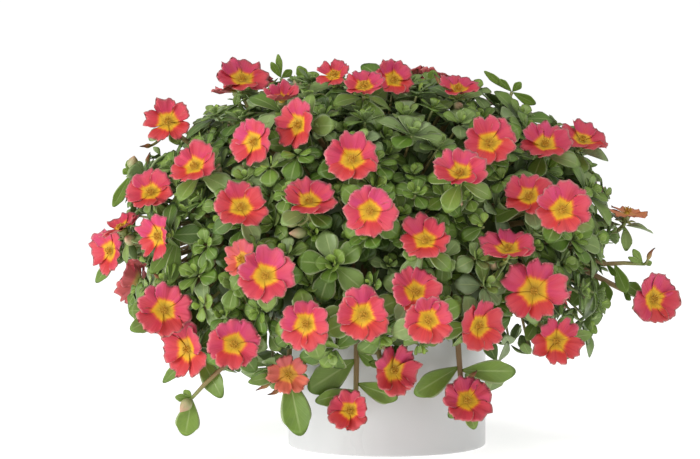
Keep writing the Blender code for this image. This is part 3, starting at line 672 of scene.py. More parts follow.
def front_blooms():
    """The blooms of the photograph, in its order."""
    rng = np.random.default_rng(BACK_SEED)
    blooms = []
    for number, seen in enumerate(SEEN, 1):
        if seen.depth is None:
            middle = seen_point(seen.across, seen.down, seen.out)
        else:
            middle = at_depth(seen.across, seen.down, seen.depth)
        nearness = (VIEW_DISTANCE + middle[1]) / VIEW_DISTANCE
        radius = seen.wide * METRES_A_PIXEL * nearness / 2
        roll = rng.uniform(0, 2 * math.pi / PETALS)
        axis = facing(seen.turn, seen.tilt)
        blooms.append(Bloom(f"bloom_{number:02d}", middle, axis, radius, seen.cup, roll, WHORL_LEAVES))
    return blooms


def back_blooms():
    """Pairs of blooms spread over the far side of the mound, whose petals overlap."""
    rng = np.random.default_rng(BACK_SEED)
    blooms = []
    for i in range(BACK_PAIRS):
        height = BACK_TOP + (BACK_BOTTOM - BACK_TOP) * (i + 0.5) / BACK_PAIRS
        sideways = 2 * ((i * BACK_TURN + BACK_START) % 1) - 1
        angle = math.radians(90) + math.radians(BACK_SPREAD) * sideways
        flat = math.sqrt(1 - height**2)
        direction = np.array((flat * math.cos(angle), flat * math.sin(angle) + BACK_OUT, height))
        first = mound_point(direction, BLOOM_LIFT)
        axis = unit(mound_normal(first) + (0, 0, BACK_UP))
        radius = rng.uniform(*BACK_RADIUS)
        across = np.array(Vector(axis).orthogonal().normalized())
        turn = rng.uniform(0, 2 * math.pi)
        step = across * math.cos(turn) + np.cross(axis, across) * math.sin(turn)
        roll = rng.uniform(0, 2 * math.pi / PETALS)
        name = f"bloom_pair_{i + 1:02d}"
        blooms.append(Bloom(name, first, axis, radius, CUP_ANGLE, roll, WHORL_LEAVES - 1))
        second = first + step * radius * BACK_STEP
        lean = unit(axis + step * BACK_LEAN)
        blooms.append(Bloom(name, second, lean, radius, CUP_ANGLE, roll + BACK_ROLL, WHORL_LEAVES - 1))
    return blooms


def frames(axis, roll):
    """For each axis, two directions square to it and the axis, the first level and turned by roll."""
    axis = unit(np.asarray(axis, float))
    roll = np.asarray(roll, float)[..., None]
    side = np.cross((0.0, 0.0, 1.0), axis)
    side = unit(np.where(np.linalg.norm(side, axis=-1, keepdims=True) < 1e-4, (1.0, 0.0, 0.0), side))
    side = side * np.cos(roll) + np.cross(axis, side) * np.sin(roll)
    return np.stack([side, np.cross(axis, side), axis], -2)


def clear_of(blooms, points):
    """For each point, whether it is in no bloom, not close under its petals nor just before its face."""
    clear = np.ones(points.shape[:-1], bool)
    for bloom in blooms:
        away = points - bloom.middle
        height = away @ bloom.axis
        reach = np.sqrt(np.maximum((away**2).sum(-1) - height**2, 0))
        rim = bloom.radius * math.sin(math.radians(bloom.cup) * (1 - CUP_WAVE))
        slope = (rim + BASE_DEPTH) / (bloom.radius - BASE_RADIUS)
        under = np.minimum(-BASE_DEPTH + slope * (reach - BASE_RADIUS), rim) - BLOOM_MARGIN
        clear &= (reach >= bloom.radius + BLOOM_MARGIN) | (height <= under) | (height >= BLOOM_FRONT)
    return clear


def shows_blooms(blooms, points):
    """For each point, whether it stands before no bloom, seen from where the photograph was taken."""
    shown = np.ones(points.shape[:-1], bool)
    for bloom in blooms:
        away = bloom.axis @ FORWARD
        if away > EDGE_ON:
            continue
        way = ((bloom.middle - points) @ bloom.axis) / away
        landing = points + way[..., None] * FORWARD - bloom.middle
        shown &= (way < 0) | (np.linalg.norm(landing, axis=-1) > bloom.radius * BLOOM_SHOWN)
    return shown


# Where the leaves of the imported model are

def clear_leaf(position, length, rise, middle, axis, roll, blooms):
    """How long a whorl's leaf is and how it rises once it is bent back, and then shortened, until no
    bloom is in its way: its outline, its halfway points and its cross points are tested."""
    turns, shares = np.array(LEAF_OUTLINE).T
    angles = position + np.radians(turns)
    basis = frames(axis, roll)
    for shrink in SHRINKS:
        for bend in BENDS:
            steep = rise - math.radians(bend)
            reach = shares * length * shrink
            flat = reach * math.cos(steep)
            height = reach * math.sin(steep) - LEAF_DROOP * reach**2 / (length * shrink)
            local = np.stack([flat * np.cos(angles), flat * np.sin(angles), height], 1)
            outline = local @ basis + middle
            tested = [outline, (outline + middle) / 2, (outline + np.roll(outline, 1, 0)) / 2]
            if clear_of(blooms, np.concatenate(tested)).all():
                return length * shrink, steep
    return length * shrink, steep


def clear_leaves(turns, lengths, rises, middle, axis, roll, blooms):
    """The lengths of a whorl's leaves, and their rises in radians, once no bloom is in their way."""
    found = [
        clear_leaf(turn, length, rise, middle, axis, roll, blooms)
        for turn, length, rise in zip(turns, lengths, np.radians(rises))
    ]
    return np.array(found).T


def shoot_places(blooms):
    """Tips, axes, rolls, leaf lengths and leaf rises of the shoots. Of many spots on the mound, each
    next one is the spot that is furthest from every bloom and from the shoots before it."""
    rng = np.random.default_rng(SHOOT_SEED)
    tips = spread(SHOOT_TRIES, SHOOT_SPAN, SHOOT_DEPTH, rng)
    low = (np.hypot(tips[:, 0], tips[:, 1]) < POT_RADIUS + POT_CLEARANCE) & (tips[:, 2] < POT_HEIGHT)
    share = STEM_SHARES[None, :, None]
    ways = tips[:, None] * (1 - share) + root_point(tips)[:, None] * share
    spots = tips[~low & clear_of(blooms, ways).all(1)]
    room = np.full(len(spots), 1.0)
    for bloom in blooms:
        room = np.minimum(room, np.linalg.norm(spots - bloom.middle, axis=1))
    found = []
    for _ in range(SHOOT_COUNT):
        tip = spots[room.argmax()]
        room = np.minimum(room, np.linalg.norm(spots - tip, axis=1))
        axis = unit(mound_normal(tip) + (0, 0, SHOOT_UP) + rng.normal(0, SHOOT_LEAN, 3))
        roll = rng.uniform(0, 2 * math.pi)
        lengths = rng.uniform(*LEAF_LENGTH, SHOOT_LEAVES)
        rises = rng.uniform(*LEAF_RISE, SHOOT_LEAVES)
        found.append((tip, axis, roll, lengths, rises))
    return found


def stalk_path(bloom):
    """The seat of a bloom's stalk, its bend and its root."""
    seat = bloom.middle - bloom.axis * (BASE_DEPTH + GAP)
    bend = seat - bloom.axis * (WHORL_BELOW + 2 * LEAF_THICK + STALK_STRAIGHT)
    return seat, bend, root_point(bend)


# Meshes from grids of points

def make_piece(name, points, faces, finish, slot, replaced=(), **attributes):
    """One smooth mesh of many like shapes. Points are shapes x corners x 3, and every shape has the
    same faces, lists of its corners. Attributes are shapes x corners x 3 or 4, one value a corner."""
    count, corners = points.shape[:2]
    offsets = np.arange(count)[:, None, None] * corners
    loops, sizes = [], []
    for size in sorted({len(face) for face in faces}):
        group = np.array([face for face in faces if len(face) == size])
        loops.append((group[None] + offsets).reshape(-1))
        sizes.append(np.full(count * len(group), size))
    loops, sizes = np.concatenate(loops), np.concatenate(sizes)
    mesh = bpy.data.meshes.new(name)
    mesh.vertices.add(count * corners)
    mesh.vertices.foreach_set("co", points.astype(np.float32).reshape(-1))
    mesh.loops.add(len(loops))
    mesh.loops.foreach_set("vertex_index", loops.astype(np.int32))
    mesh.polygons.add(len(sizes))
    mesh.polygons.foreach_set("loop_start", (np.cumsum(sizes) - sizes).astype(np.int32))
    mesh.update(calc_edges=True)
    mesh.shade_smooth()
    for label, values in attributes.items():
        kind, field = ("FLOAT_COLOR", "color") if values.shape[-1] == 4 else ("FLOAT_VECTOR", "vector")
        layer = mesh.attributes.new(label, kind, "POINT")
        layer.data.foreach_set(field, values.astype(np.float32).reshape(-1))
    mesh.materials.append(finish)
    piece = bpy.data.objects.new(name, mesh)
    bpy.context.scene.collection.objects.link(piece)
    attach(piece, "root")
    if replaced:
        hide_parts(*replaced)
    return piece


def blade_pattern(rows, columns):
    """The corners and faces of one closed blade. Its front and back grids share their first row, drawn
    to one point, their two edges and their last row. The first list says which slot of the two grids
    each corner takes."""
    slots = np.arange(2 * rows * columns).reshape(2, rows, columns)
    slots[1, :, 0], slots[1, :, -1], slots[1, -1] = slots[0, :, 0], slots[0, :, -1], slots[0, -1]
    slots[:, 0] = slots[0, 0, columns // 2]
    kept, corner = np.unique(slots, return_inverse=True)
    corner = corner.reshape(slots.shape)
    faces = []
    for side in range(2):
        for row in range(rows - 1):
            for column in range(columns - 1):
                lower, upper = corner[side, row], corner[side, row + 1]
                ring = (lower[column], lower[column + 1], upper[column + 1], upper[column])
                face = [int(here) for i, here in enumerate(ring) if here != ring[i - 1]]
                faces.append(face[::-1] if side else face)
    return kept, faces


def blade_place(grid, own):
    """The place of each corner on its blade, across and along it, and a number of each blade's own."""
    place = np.zeros((len(own), len(grid[0]), len(grid[1]), 3))
    place[..., 0] = grid[1]
    place[..., 1] = grid[0][:, None]
    place[..., 2] = own[:, None, None]
    return place


def blade_piece(name, sheets, place, tint, finish, slot, replaced=()):
    """A piece of closed blades. Sheets are blades x 2 x rows x columns x 3, place and tint are blades x
    rows x columns x their channels; tint's third channel becomes how far a corner is on the back."""
    rows, columns = sheets.shape[2:4]
    kept, faces = blade_pattern(rows, columns)
    points = sheets.reshape(len(sheets), -1, 3)[:, kept]
    spot = kept % (rows * columns)
    place = place.reshape(len(place), -1, 3)[:, spot]
    tint = tint.reshape(len(tint), -1, 4)[:, spot]
    column, row = spot % columns, spot // columns
    edge = (column == 0) | (column == columns - 1) | (row == 0) | (row == rows - 1)
    tint[:, :, 2] = np.where(edge, 0.5, kept // (rows * columns))
    return make_piece(name, points, faces, finish, slot, replaced, place=place, tint=tint)


def tube_rings(paths, radii, sides):
    """A ring of points round each point of each path: a circle of its radius in the plane square to the
    path's run, whose first direction is square to the world axis that the path leans on least."""
    run = unit(np.gradient(paths, axis=1))
    chord = unit(paths[:, -1] - paths[:, 0])
    fixed = np.eye(3)[np.abs(chord).argmin(1)]
    side = unit(np.cross(run, fixed[:, None]))
    other = np.cross(run, side)
    angle = (2 * math.pi * np.arange(sides) / sides)[:, None]
    ring = side[:, :, None] * np.cos(angle) + other[:, :, None] * np.sin(angle)
    return paths[:, :, None] + ring * radii[:, :, None, None]


def tube_faces(rings, sides):
    """Quads between rings of corners, and a flat cap on each end."""
    faces = [list(range(sides))[::-1], [(rings - 1) * sides + i for i in range(sides)]]
    for ring in range(rings - 1):
        for i in range(sides):
            first, second = ring * sides + i, ring * sides + (i + 1) % sides
            faces.append([first, second, second + sides, first + sides])
    return faces


def tube_piece(name, paths, radii, sides, tint, finish, slot, replaced=()):
    """A piece of closed tubes. Radii are those of a path's points, the same on every path or paths x
    points. Tint is tubes x points x 4, the same all round a ring."""
    count, rings = paths.shape[:2]
    points = tube_rings(paths, np.broadcast_to(radii, (count, rings)), sides).reshape(count, -1, 3)
    tint = np.repeat(tint, sides, axis=1)
    return make_piece(name, points, tube_faces(rings, sides), finish, slot, replaced, tint=tint)


def ball_faces(rings, steps):
    """Quads between rings of corners, and triangles to a pole at each end. The poles come last."""
    faces = tube_faces(rings, steps)[2:]
    last, pole = (rings - 1) * steps, rings * steps
    for i in range(steps):
        faces.append([(i + 1) % steps, i, pole])
        faces.append([last + i, last + (i + 1) % steps, pole + 1])
    return faces


def turned_piece(name, profile, steps, finish, slot, replaced, relief=None):
    """A closed round body: each point of the profile, a radius and a height, carried round the Z axis,
    the first and last on the axis. Relief gives a height to add at each point's x and y."""
    angle = 2 * math.pi * np.arange(steps) / steps
    radius, height = np.array(profile[1:-1]).T
    x, y = radius[:, None] * np.cos(angle), radius[:, None] * np.sin(angle)
    z = height[:, None] + (relief(x, y) if relief else 0 * x)
    poles = [(0.0, 0.0, profile[0][1]), (0.0, 0.0, profile[-1][1])]
    points = np.concatenate([np.stack([x, y, z], -1).reshape(-1, 3), poles])
    return make_piece(name, points[None], ball_faces(len(radius), steps), finish, slot, replaced)


# Leaves

def leaf_sheets(leaves, grid=LEAF_GRID):
    """Front and back of every leaf. A point is the foot, plus its share of the length along the leaf,
    less a droop that grows with the square of that share, plus its share of the half width sideways.
    The half width grows nearly straight from the foot and shrinks again with a power of the share, and
    the rows bend back towards the edges, so that the last one is the round tip. The edges rise with the
    square of the distance from the midrib, and the body thins to nothing there."""
    share = grid[0][None, :, None, None]
    across = grid[1][None, None, :, None]
    foot, along, up, fall = (part[:, None, None] for part in leaves[:4])
    length, droop, wide, keel = (part[:, None, None, None] for part in leaves[4:8])
    side = np.cross(along, up)
    taper = TAPER_FROM - TAPER_BY * share**TAPER_POWER
    width = wide * WIDEN_BY * share**WIDEN_POWER * taper
    reach = share - LEAF_TIP * share**3 * across**2
    middle = foot + (along * reach - fall * droop * reach**2) * length
    middle = middle + side * width * across + up * width * keel * across**2
    fullness = np.sqrt((1 - across**2) * (1 - share**4))
    body = up * LEAF_THICK / 2 * fullness * np.minimum(THICK_WITHIN * share, 1)
    return np.stack([middle + body, middle - body], 1)


def leaf_piece(name, leaves, finish, grid=LEAF_GRID, replaced=()):
    """A piece of leaves, with each corner's place on its blade and each leaf's own tint."""
    count = len(leaves.foot)
    place = blade_place(grid, np.random.default_rng(count).uniform(0, 50, count))
    tint = np.zeros((*place.shape[:3], 4))
    tint[..., 0] = leaves.tone[:, None, None]
    tint[..., 1] = leaves.young[:, None, None]
    tint[..., 3] = 1.0
    return blade_piece(name, leaf_sheets(leaves, grid), place, tint, finish, "leaf", replaced)


def gather(groups):
    """Several groups of leaves as one."""
    return Leaves(*(np.concatenate(parts) for parts in zip(*groups)))


def chosen(leaves, keep):
    """Those leaves that keep says."""
    return Leaves(*(part[keep] for part in leaves))


def whorl(middle, axis, roll, turns, lengths, rises, lift, slender, tone, young):
    """Leaves that spring from one stem. Arguments are whorls x ..., and turns, lengths, rises, lift,
    tone and young are whorls x leaves: each leaf's angle round the stem, its length, its rise in
    radians and how far up the stem it starts. Slender is its width as a share of its length."""
    basis = frames(axis, roll)[:, None]
    side, other, stem = basis[..., 0, :], basis[..., 1, :], basis[..., 2, :]
    outward = side * np.cos(turns)[..., None] + other * np.sin(turns)[..., None]
    rise = rises[..., None]
    along = np.cos(rise) * outward + np.sin(rise) * stem
    up = np.cos(rise) * stem - np.sin(rise) * outward
    stem = np.broadcast_to(stem, along.shape)
    foot = middle[:, None] + stem * lift[..., None] + outward * LEAF_FOOT_OUT
    flat = [part.reshape(-1, 3) for part in (foot, along, up, stem)]
    lengths = lengths.reshape(-1)
    droop = LEAF_DROOP * np.cos(rises).reshape(-1) ** 2
    tone = tone.reshape(-1)
    keel = LEAF_KEEL * (KEEL_BY_TONE[0] + KEEL_BY_TONE[1] * tone)
    wide = lengths * slender / 2
    return Leaves(*flat, lengths, droop, wide, keel, tone, young.reshape(-1))


def settle(leaves, blooms, tries, drop):
    """Bends back, a little more on each try, the leaves that touch a bloom or stand before one, and
    where drop is set leaves out those that still do."""
    leaves = Leaves(*(part.copy() for part in leaves))
    for attempt in range(tries + 1):
        tested = leaf_sheets(leaves)[:, 0][:, 1:, ::2].reshape(len(leaves.foot), -1, 3)
        fine = (clear_of(blooms, tested) & shows_blooms(blooms, tested) & ~in_gap(tested)).all(1)
        if attempt == tries or fine.all():
            break
        wrong = ~fine
        along, up = leaves.along[wrong], leaves.up[wrong]
        leaves.along[wrong] = along * math.cos(BEND_STEP) - up * math.sin(BEND_STEP)
        leaves.up[wrong] = up * math.cos(BEND_STEP) + along * math.sin(BEND_STEP)
        leaves.length[wrong] *= BEND_SHRINK
        leaves.wide[wrong] *= BEND_SHRINK
    if drop:
        return chosen(leaves, fine)
    leaves.length[~fine] *= LAST_SHRINK
    leaves.wide[~fine] *= LAST_SHRINK
    return leaves


def model_shoots(blooms, shoots):
    """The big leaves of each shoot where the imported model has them, and younger ones inside them."""
    rng = np.random.default_rng(ROSETTE_SEED)
    count = len(YOUNG_SHARES)
    outer, inner = [], []
    for tip, axis, roll, lengths, rises in shoots:
        turns = 2 * math.pi * np.arange(SHOOT_LEAVES) / SHOOT_LEAVES
        lengths, steep = clear_leaves(turns, lengths, rises, tip, axis, roll, blooms)
        outer.append((tip, axis, roll, turns, lengths, steep))
        turns = GOLDEN_TURN * np.arange(count) + rng.uniform(0, 6)
        steep = np.radians(YOUNG_RISES + rng.uniform(-YOUNG_RISES_VARY, YOUNG_RISES_VARY, count))
        inner.append((tip, axis, roll, turns, YOUNG_LENGTHS, steep))
    outer = [np.array(part) for part in zip(*outer)]
    tone = rng.uniform(0, 1, (len(shoots), SHOOT_LEAVES))
    big = whorl(*outer, 0 * tone, SHOOT_SLENDER, tone, SHOOT_YOUNG * tone)
    inner = [np.array(part) for part in zip(*inner)]
    tone = rng.uniform(0, 1, (len(shoots), count))
    share = np.broadcast_to(YOUNG_SHARES, tone.shape)
    small = whorl(*inner, YOUNG_LIFT * share, YOUNG_SLENDER, tone, share**YOUNG_POWER)
    return settle(big, blooms, LEAF_TRIES, False), settle(small, blooms, YOUNG_TRIES, True)


def model_whorls(blooms):
    """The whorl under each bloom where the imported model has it, with narrow sepals above it."""
    rng = np.random.default_rng(BACK_SEED)
    shade = np.random.default_rng(PETAL_SEED)
    full = np.ones((1, SEPALS))
    groups, sepals = [], []
    for number, bloom in enumerate(blooms, 1):
        lengths = rng.uniform(*WHORL_LENGTH, bloom.leaves)
        rises = rng.uniform(*WHORL_RISE, bloom.leaves)
        turns = 2 * math.pi * np.arange(bloom.leaves) / bloom.leaves
        seat = stalk_path(bloom)[0]
        middle = seat - bloom.axis * WHORL_BELOW
        lengths, steep = clear_leaves(turns, lengths, rises, middle, bloom.axis, bloom.roll, blooms)
        if number in HIDDEN_WHORLS:
            lengths = np.minimum(lengths, bloom.radius * WHORL_HIDDEN)
        tone = shade.uniform(0, 1, (1, bloom.leaves))
        parts = [np.array([part]) for part in (middle, bloom.axis, bloom.roll, turns, lengths, steep)]
        groups.append(whorl(*parts, 0 * tone, WHORL_SLENDER, tone, WHORL_YOUNG * tone))
        turns = 2 * math.pi * np.arange(SEPALS) / SEPALS + bloom.roll
        steep = math.radians(bloom.cup + SEPAL_RISE)
        lengths, steep = SEPAL_LENGTH * full, steep * full
        parts = (seat[None], bloom.axis[None], np.zeros(1), turns[None], lengths, steep)
        sepals.append(whorl(*parts, 0 * full, SEPAL_SLENDER, SEPAL_TONE * full, SEPAL_YOUNG * full))
    return gather([settle(gather(groups), blooms, LEAF_TRIES, False), *sepals])


def small_rosettes(blooms, shoots):
    """Rosettes spread evenly over the mound, each next one where there is most room. In each, a leaf is
    a golden turn from the one before, the first ones long and nearly level, the last ones short, steep
    and young."""
    rng = np.random.default_rng(ROSETTE_SEED + 1)
    spots = spread(ROSETTE_TRIES, ROSETTE_SPAN, ROSETTE_DEPTH, rng)
    fine = (spots[:, 2] > ROSETTE_LOWEST) & ~in_gap(spots) & clear_of(blooms, spots)
    spots = spots[fine & shows_blooms(blooms, spots)]
    room = np.linalg.norm(spots[:, None] - np.array([shoot[0] for shoot in shoots]), axis=2).min(1)
    found = []
    for _ in range(ROSETTE_COUNT):
        found.append(room.argmax())
        room = np.minimum(room, np.linalg.norm(spots - spots[found[-1]], axis=1))
    tips = spots[found]
    count = len(tips)
    axis = unit(mound_normal(tips) + (0, 0, ROSETTE_UP) + rng.normal(0, ROSETTE_LEAN, (count, 3)))
    share = np.broadcast_to(np.linspace(0, 1, ROSETTE_LEAVES), (count, ROSETTE_LEAVES))
    shorten, power = ROSETTE_SHORTEN
    size = rng.uniform(*ROSETTE_LENGTH, (count, 1)) * (1 - shorten * share**power)
    lengths = size * rng.uniform(*ROSETTE_LENGTHS_VARY, share.shape)
    least, grows, varies = ROSETTE_RISE
    steep = np.radians(least + grows * share + rng.uniform(-varies, varies, share.shape))
    turns = GOLDEN_TURN * np.arange(ROSETTE_LEAVES) + rng.normal(0, ROSETTE_TWIST, share.shape)
    common, single = ROSETTE_TONES
    tone = np.clip(rng.uniform(0, 1, (count, 1)) * common + rng.uniform(0, single, share.shape), 0, 1)
    roll = rng.uniform(0, 2 * math.pi, count)
    young = share**2 * rng.uniform(*ROSETTE_YOUNG, (count, 1))
    parts = (tips, axis, roll, turns, lengths, steep, ROSETTE_LIFT * share, ROSETTE_SLENDER, tone, young)
    return settle(whorl(*parts), blooms, LEAF_TRIES, True), tips


def shade_leaves(blooms):
    """Plain leaves at every angle in the shade behind the rosettes."""
    rng = np.random.default_rng(SHADE_SEED)
    feet = spread(SHADE_COUNT, SHADE_SPAN, SHADE_DEPTH, rng)
    reach = np.hypot(feet[:, 0], feet[:, 1])
    low = (reach < CORE_HOLLOW_RADIUS + SHADE_CLEARANCE) & (feet[:, 2] < POT_HEIGHT)
    feet = feet[~low & ~in_gap(feet) & (feet[:, 2] > ROSETTE_LOWEST)]
    count = len(feet)
    axis = unit(mound_normal(feet) + rng.normal(0, SHADE_LEAN, (count, 3)))
    turns = rng.uniform(0, 2 * math.pi, (count, 1))
    lengths = rng.uniform(*SHADE_LENGTH, (count, 1))
    steep = np.radians(rng.uniform(*SHADE_RISE, (count, 1)))
    tone = rng.uniform(0, SHADE_TONE, (count, 1))
    parts = (feet, axis, np.zeros(count), turns, lengths, steep, 0 * steep, SHADE_SLENDER, tone, 0 * tone)
    return settle(whorl(*parts), blooms, SHADE_TRIES, True)


def facing_blades(feet, tips, widths, tone, young):
    """Single leaves from their feet to their tips, with their faces to the viewer."""
    reach = tips - feet
    along = unit(reach)
    up = np.cross(unit(np.cross(along, SINGLE_FACE)), along)
    up = up * np.where(up[:, 1:2] > 0, -1.0, 1.0)
    count = len(feet)
    length = np.linalg.norm(reach, axis=1)
    droop, keel = np.zeros(count), np.full(count, LEAF_KEEL)
    full = [np.full(count, value) for value in (tone, young)]
    return Leaves(feet, along, up, up, length, droop, widths / 2, keel, *full)


def single_leaves(blooms):
    """The leaves that stand out singly, on stalks and twigs, and the leaves of the twigs' tips. A tip
    is moved further from the viewer, in small steps, while its leaf crosses a bloom."""
    feet = [stem_near(leaf.bearer, blooms, leaf.foot_across, leaf.foot_down) for leaf in SEEN_LEAVES]
    widths = np.array([leaf.wide * METRES_A_PIXEL for leaf in SEEN_LEAVES])
    away = np.full(len(feet), -SINGLE_NEARER)
    for _ in range(SINGLE_TRIES):
        tips = [
            at_depth(leaf.across, leaf.down, foot[1] + back)
            for leaf, foot, back in zip(SEEN_LEAVES, feet, away)
        ]
        singles = facing_blades(np.array(feet), np.array(tips), widths, *SINGLE_TONE)
        tested = leaf_sheets(singles)[:, 0, 3:].reshape(len(feet), -1, 3)
        clear = (clear_of(blooms, tested) & shows_blooms(blooms, tested)).all(1)
        away += np.where(clear, 0, SINGLE_STEP)
    feet, tips, widths = [], [], []
    for twig in TWIGS:
        foot = at_depth(*twig.stem[0], twig.depth)
        for across, down, wide in twig.leaves:
            feet.append(foot)
            tips.append(at_depth(across, down, twig.depth - TWIG_TIP_NEARER))
            widths.append(wide * METRES_A_PIXEL)
    twigs = facing_blades(np.array(feet), np.array(tips), np.array(widths), *TWIG_TONE)
    return gather([singles, twigs])


# Stems, buds and flowers

def curved(start, first, second, end, count):
    """Points on cubic curves from start to end, drawn towards two points between."""
    t = np.linspace(0, 1, count)[None, :, None]
    parts = (start * 1.0, first, second, end)
    start, first, second, end = (np.asarray(part)[:, None] for part in parts)
    return (1 - t) ** 3 * start + 3 * t * (1 - t) ** 2 * first + 3 * t**2 * (1 - t) * second + t**3 * end


def straight(feet, heads, count):
    """Points on straight lines from feet to heads."""
    t = np.linspace(0, 1, count)[None, :, None]
    return feet[:, None] * (1 - t) + heads[:, None] * t


def polyline(points, count):
    """Points along the straight pieces from each point to the next, as many on each piece."""
    points = np.array(points)
    along = np.linspace(0, len(points) - 1, count)
    return np.stack([np.interp(along, np.arange(len(points)), part) for part in points.T], 1)


def stalk_curve(bloom, count):
    """Points along the stalk of a bloom, from its seat to its root."""
    seat, bend, root = (part[None] for part in stalk_path(bloom))
    return curved(seat, bend, bend + (root - bend) * STALK_PULL, root, count)[0]


def stem_near(bearer, blooms, across, down):
    """The point of a bloom's stalk or, where bearer is below nought, of a twig, that is seen nearest
    to a pixel."""
    if bearer > 0:
        points = stalk_curve(blooms[bearer - 1], STALK_TRIED)
    else:
        twig = TWIGS[-bearer - 1]
        points = polyline([at_depth(*spot, twig.depth) for spot in twig.stem], TWIG_TRIED)
    place = seen_at(points)
    return points[np.hypot(place[0] - across, place[1] - down).argmin()]


def tip_places(tips, blooms):
    """Where the short stalks of buds or withered flowers start, and where their middles are seen."""
    starts, middles = [], []
    for tip in tips:
        start = stem_near(tip.bearer, blooms, tip.across, tip.down)
        starts.append(start)
        middles.append(at_depth(tip.across, tip.down, start[1] - TIP_NEARER))
    return np.array(starts), np.array(middles)


def run_tint(count, run, tone=1.0):
    """Tint of small round parts: where each point is on the run of their colours, and each one's tone."""
    tint = np.ones((count, len(run), 4))
    tint[..., 0] = run
    tint[..., 1] = tone
    return tint


def stem_tint(count, points, rng, youngest=0.0, oldest=1.0):
    """Tint along stems: how woody each point is, and a tone for each stem."""
    return run_tint(count, np.linspace(youngest, oldest, points), rng.uniform(0, 1, (count, 1)))


def make_stems(blooms, shoots, tips, finish):
    """Main stems out of the soil, stalks under the blooms, shoot stems and twigs, all tapered tubes."""
    rng = np.random.default_rng(BACK_SEED)

    def stems(name, paths, radii, sides, youngest=0.0):
        """A piece of stems, from their first radius to their last."""
        count, points = paths.shape[:2]
        tint = stem_tint(count, points, rng, youngest)
        tube_piece(name, paths, np.linspace(*radii, points), sides, tint, finish, "leaf")

    angle = 2 * math.pi * (np.arange(STEM_COUNT) + 0.25) / STEM_COUNT
    ring = np.stack([STEM_RING * np.cos(angle), STEM_RING * np.sin(angle), 0 * angle], 1)
    feet = np.concatenate([np.zeros((1, 3)), ring]) + (0, 0, STEM_FOOT)
    heads = feet * (STEM_SPREAD, STEM_SPREAD, 0) + (0, 0, STEM_HEAD)
    upright = np.array((0, 0, STEM_STRAIGHT))
    points, sides = STEM_DETAIL
    main = curved(feet, feet + upright, heads - upright, heads, points)
    stems("main_stems", main, (STEM_RADIUS, STEM_RADIUS), sides, STEM_WOODY)
    points, sides = STALK_DETAIL
    stems("flower_stalks", np.array([stalk_curve(bloom, points) for bloom in blooms]), STALK_RADII, sides)
    tips = np.concatenate([np.array([shoot[0] for shoot in shoots]), tips])
    roots = root_point(tips)
    first, second = (tips + (roots - tips) * pull for pull in SHOOT_PULLS)
    points, sides = SHOOT_DETAIL
    paths = curved(tips, first, second - (0, 0, SHOOT_SAG), roots, points)
    stems("shoot_stems", paths, SHOOT_RADII, sides)
    points, sides = TWIG_DETAIL
    twigs = []
    for twig in TWIGS:
        bends = [at_depth(across, down, twig.depth) for across, down in twig.stem]
        twigs.append(polyline([*bends, root_point(bends[-1])], points))
    stems("twigs", np.array(twigs), TWIG_RADII, sides)


def each(blooms, field):
    """One field of every bloom, as an array."""
    return np.array([getattr(bloom, field) for bloom in blooms])


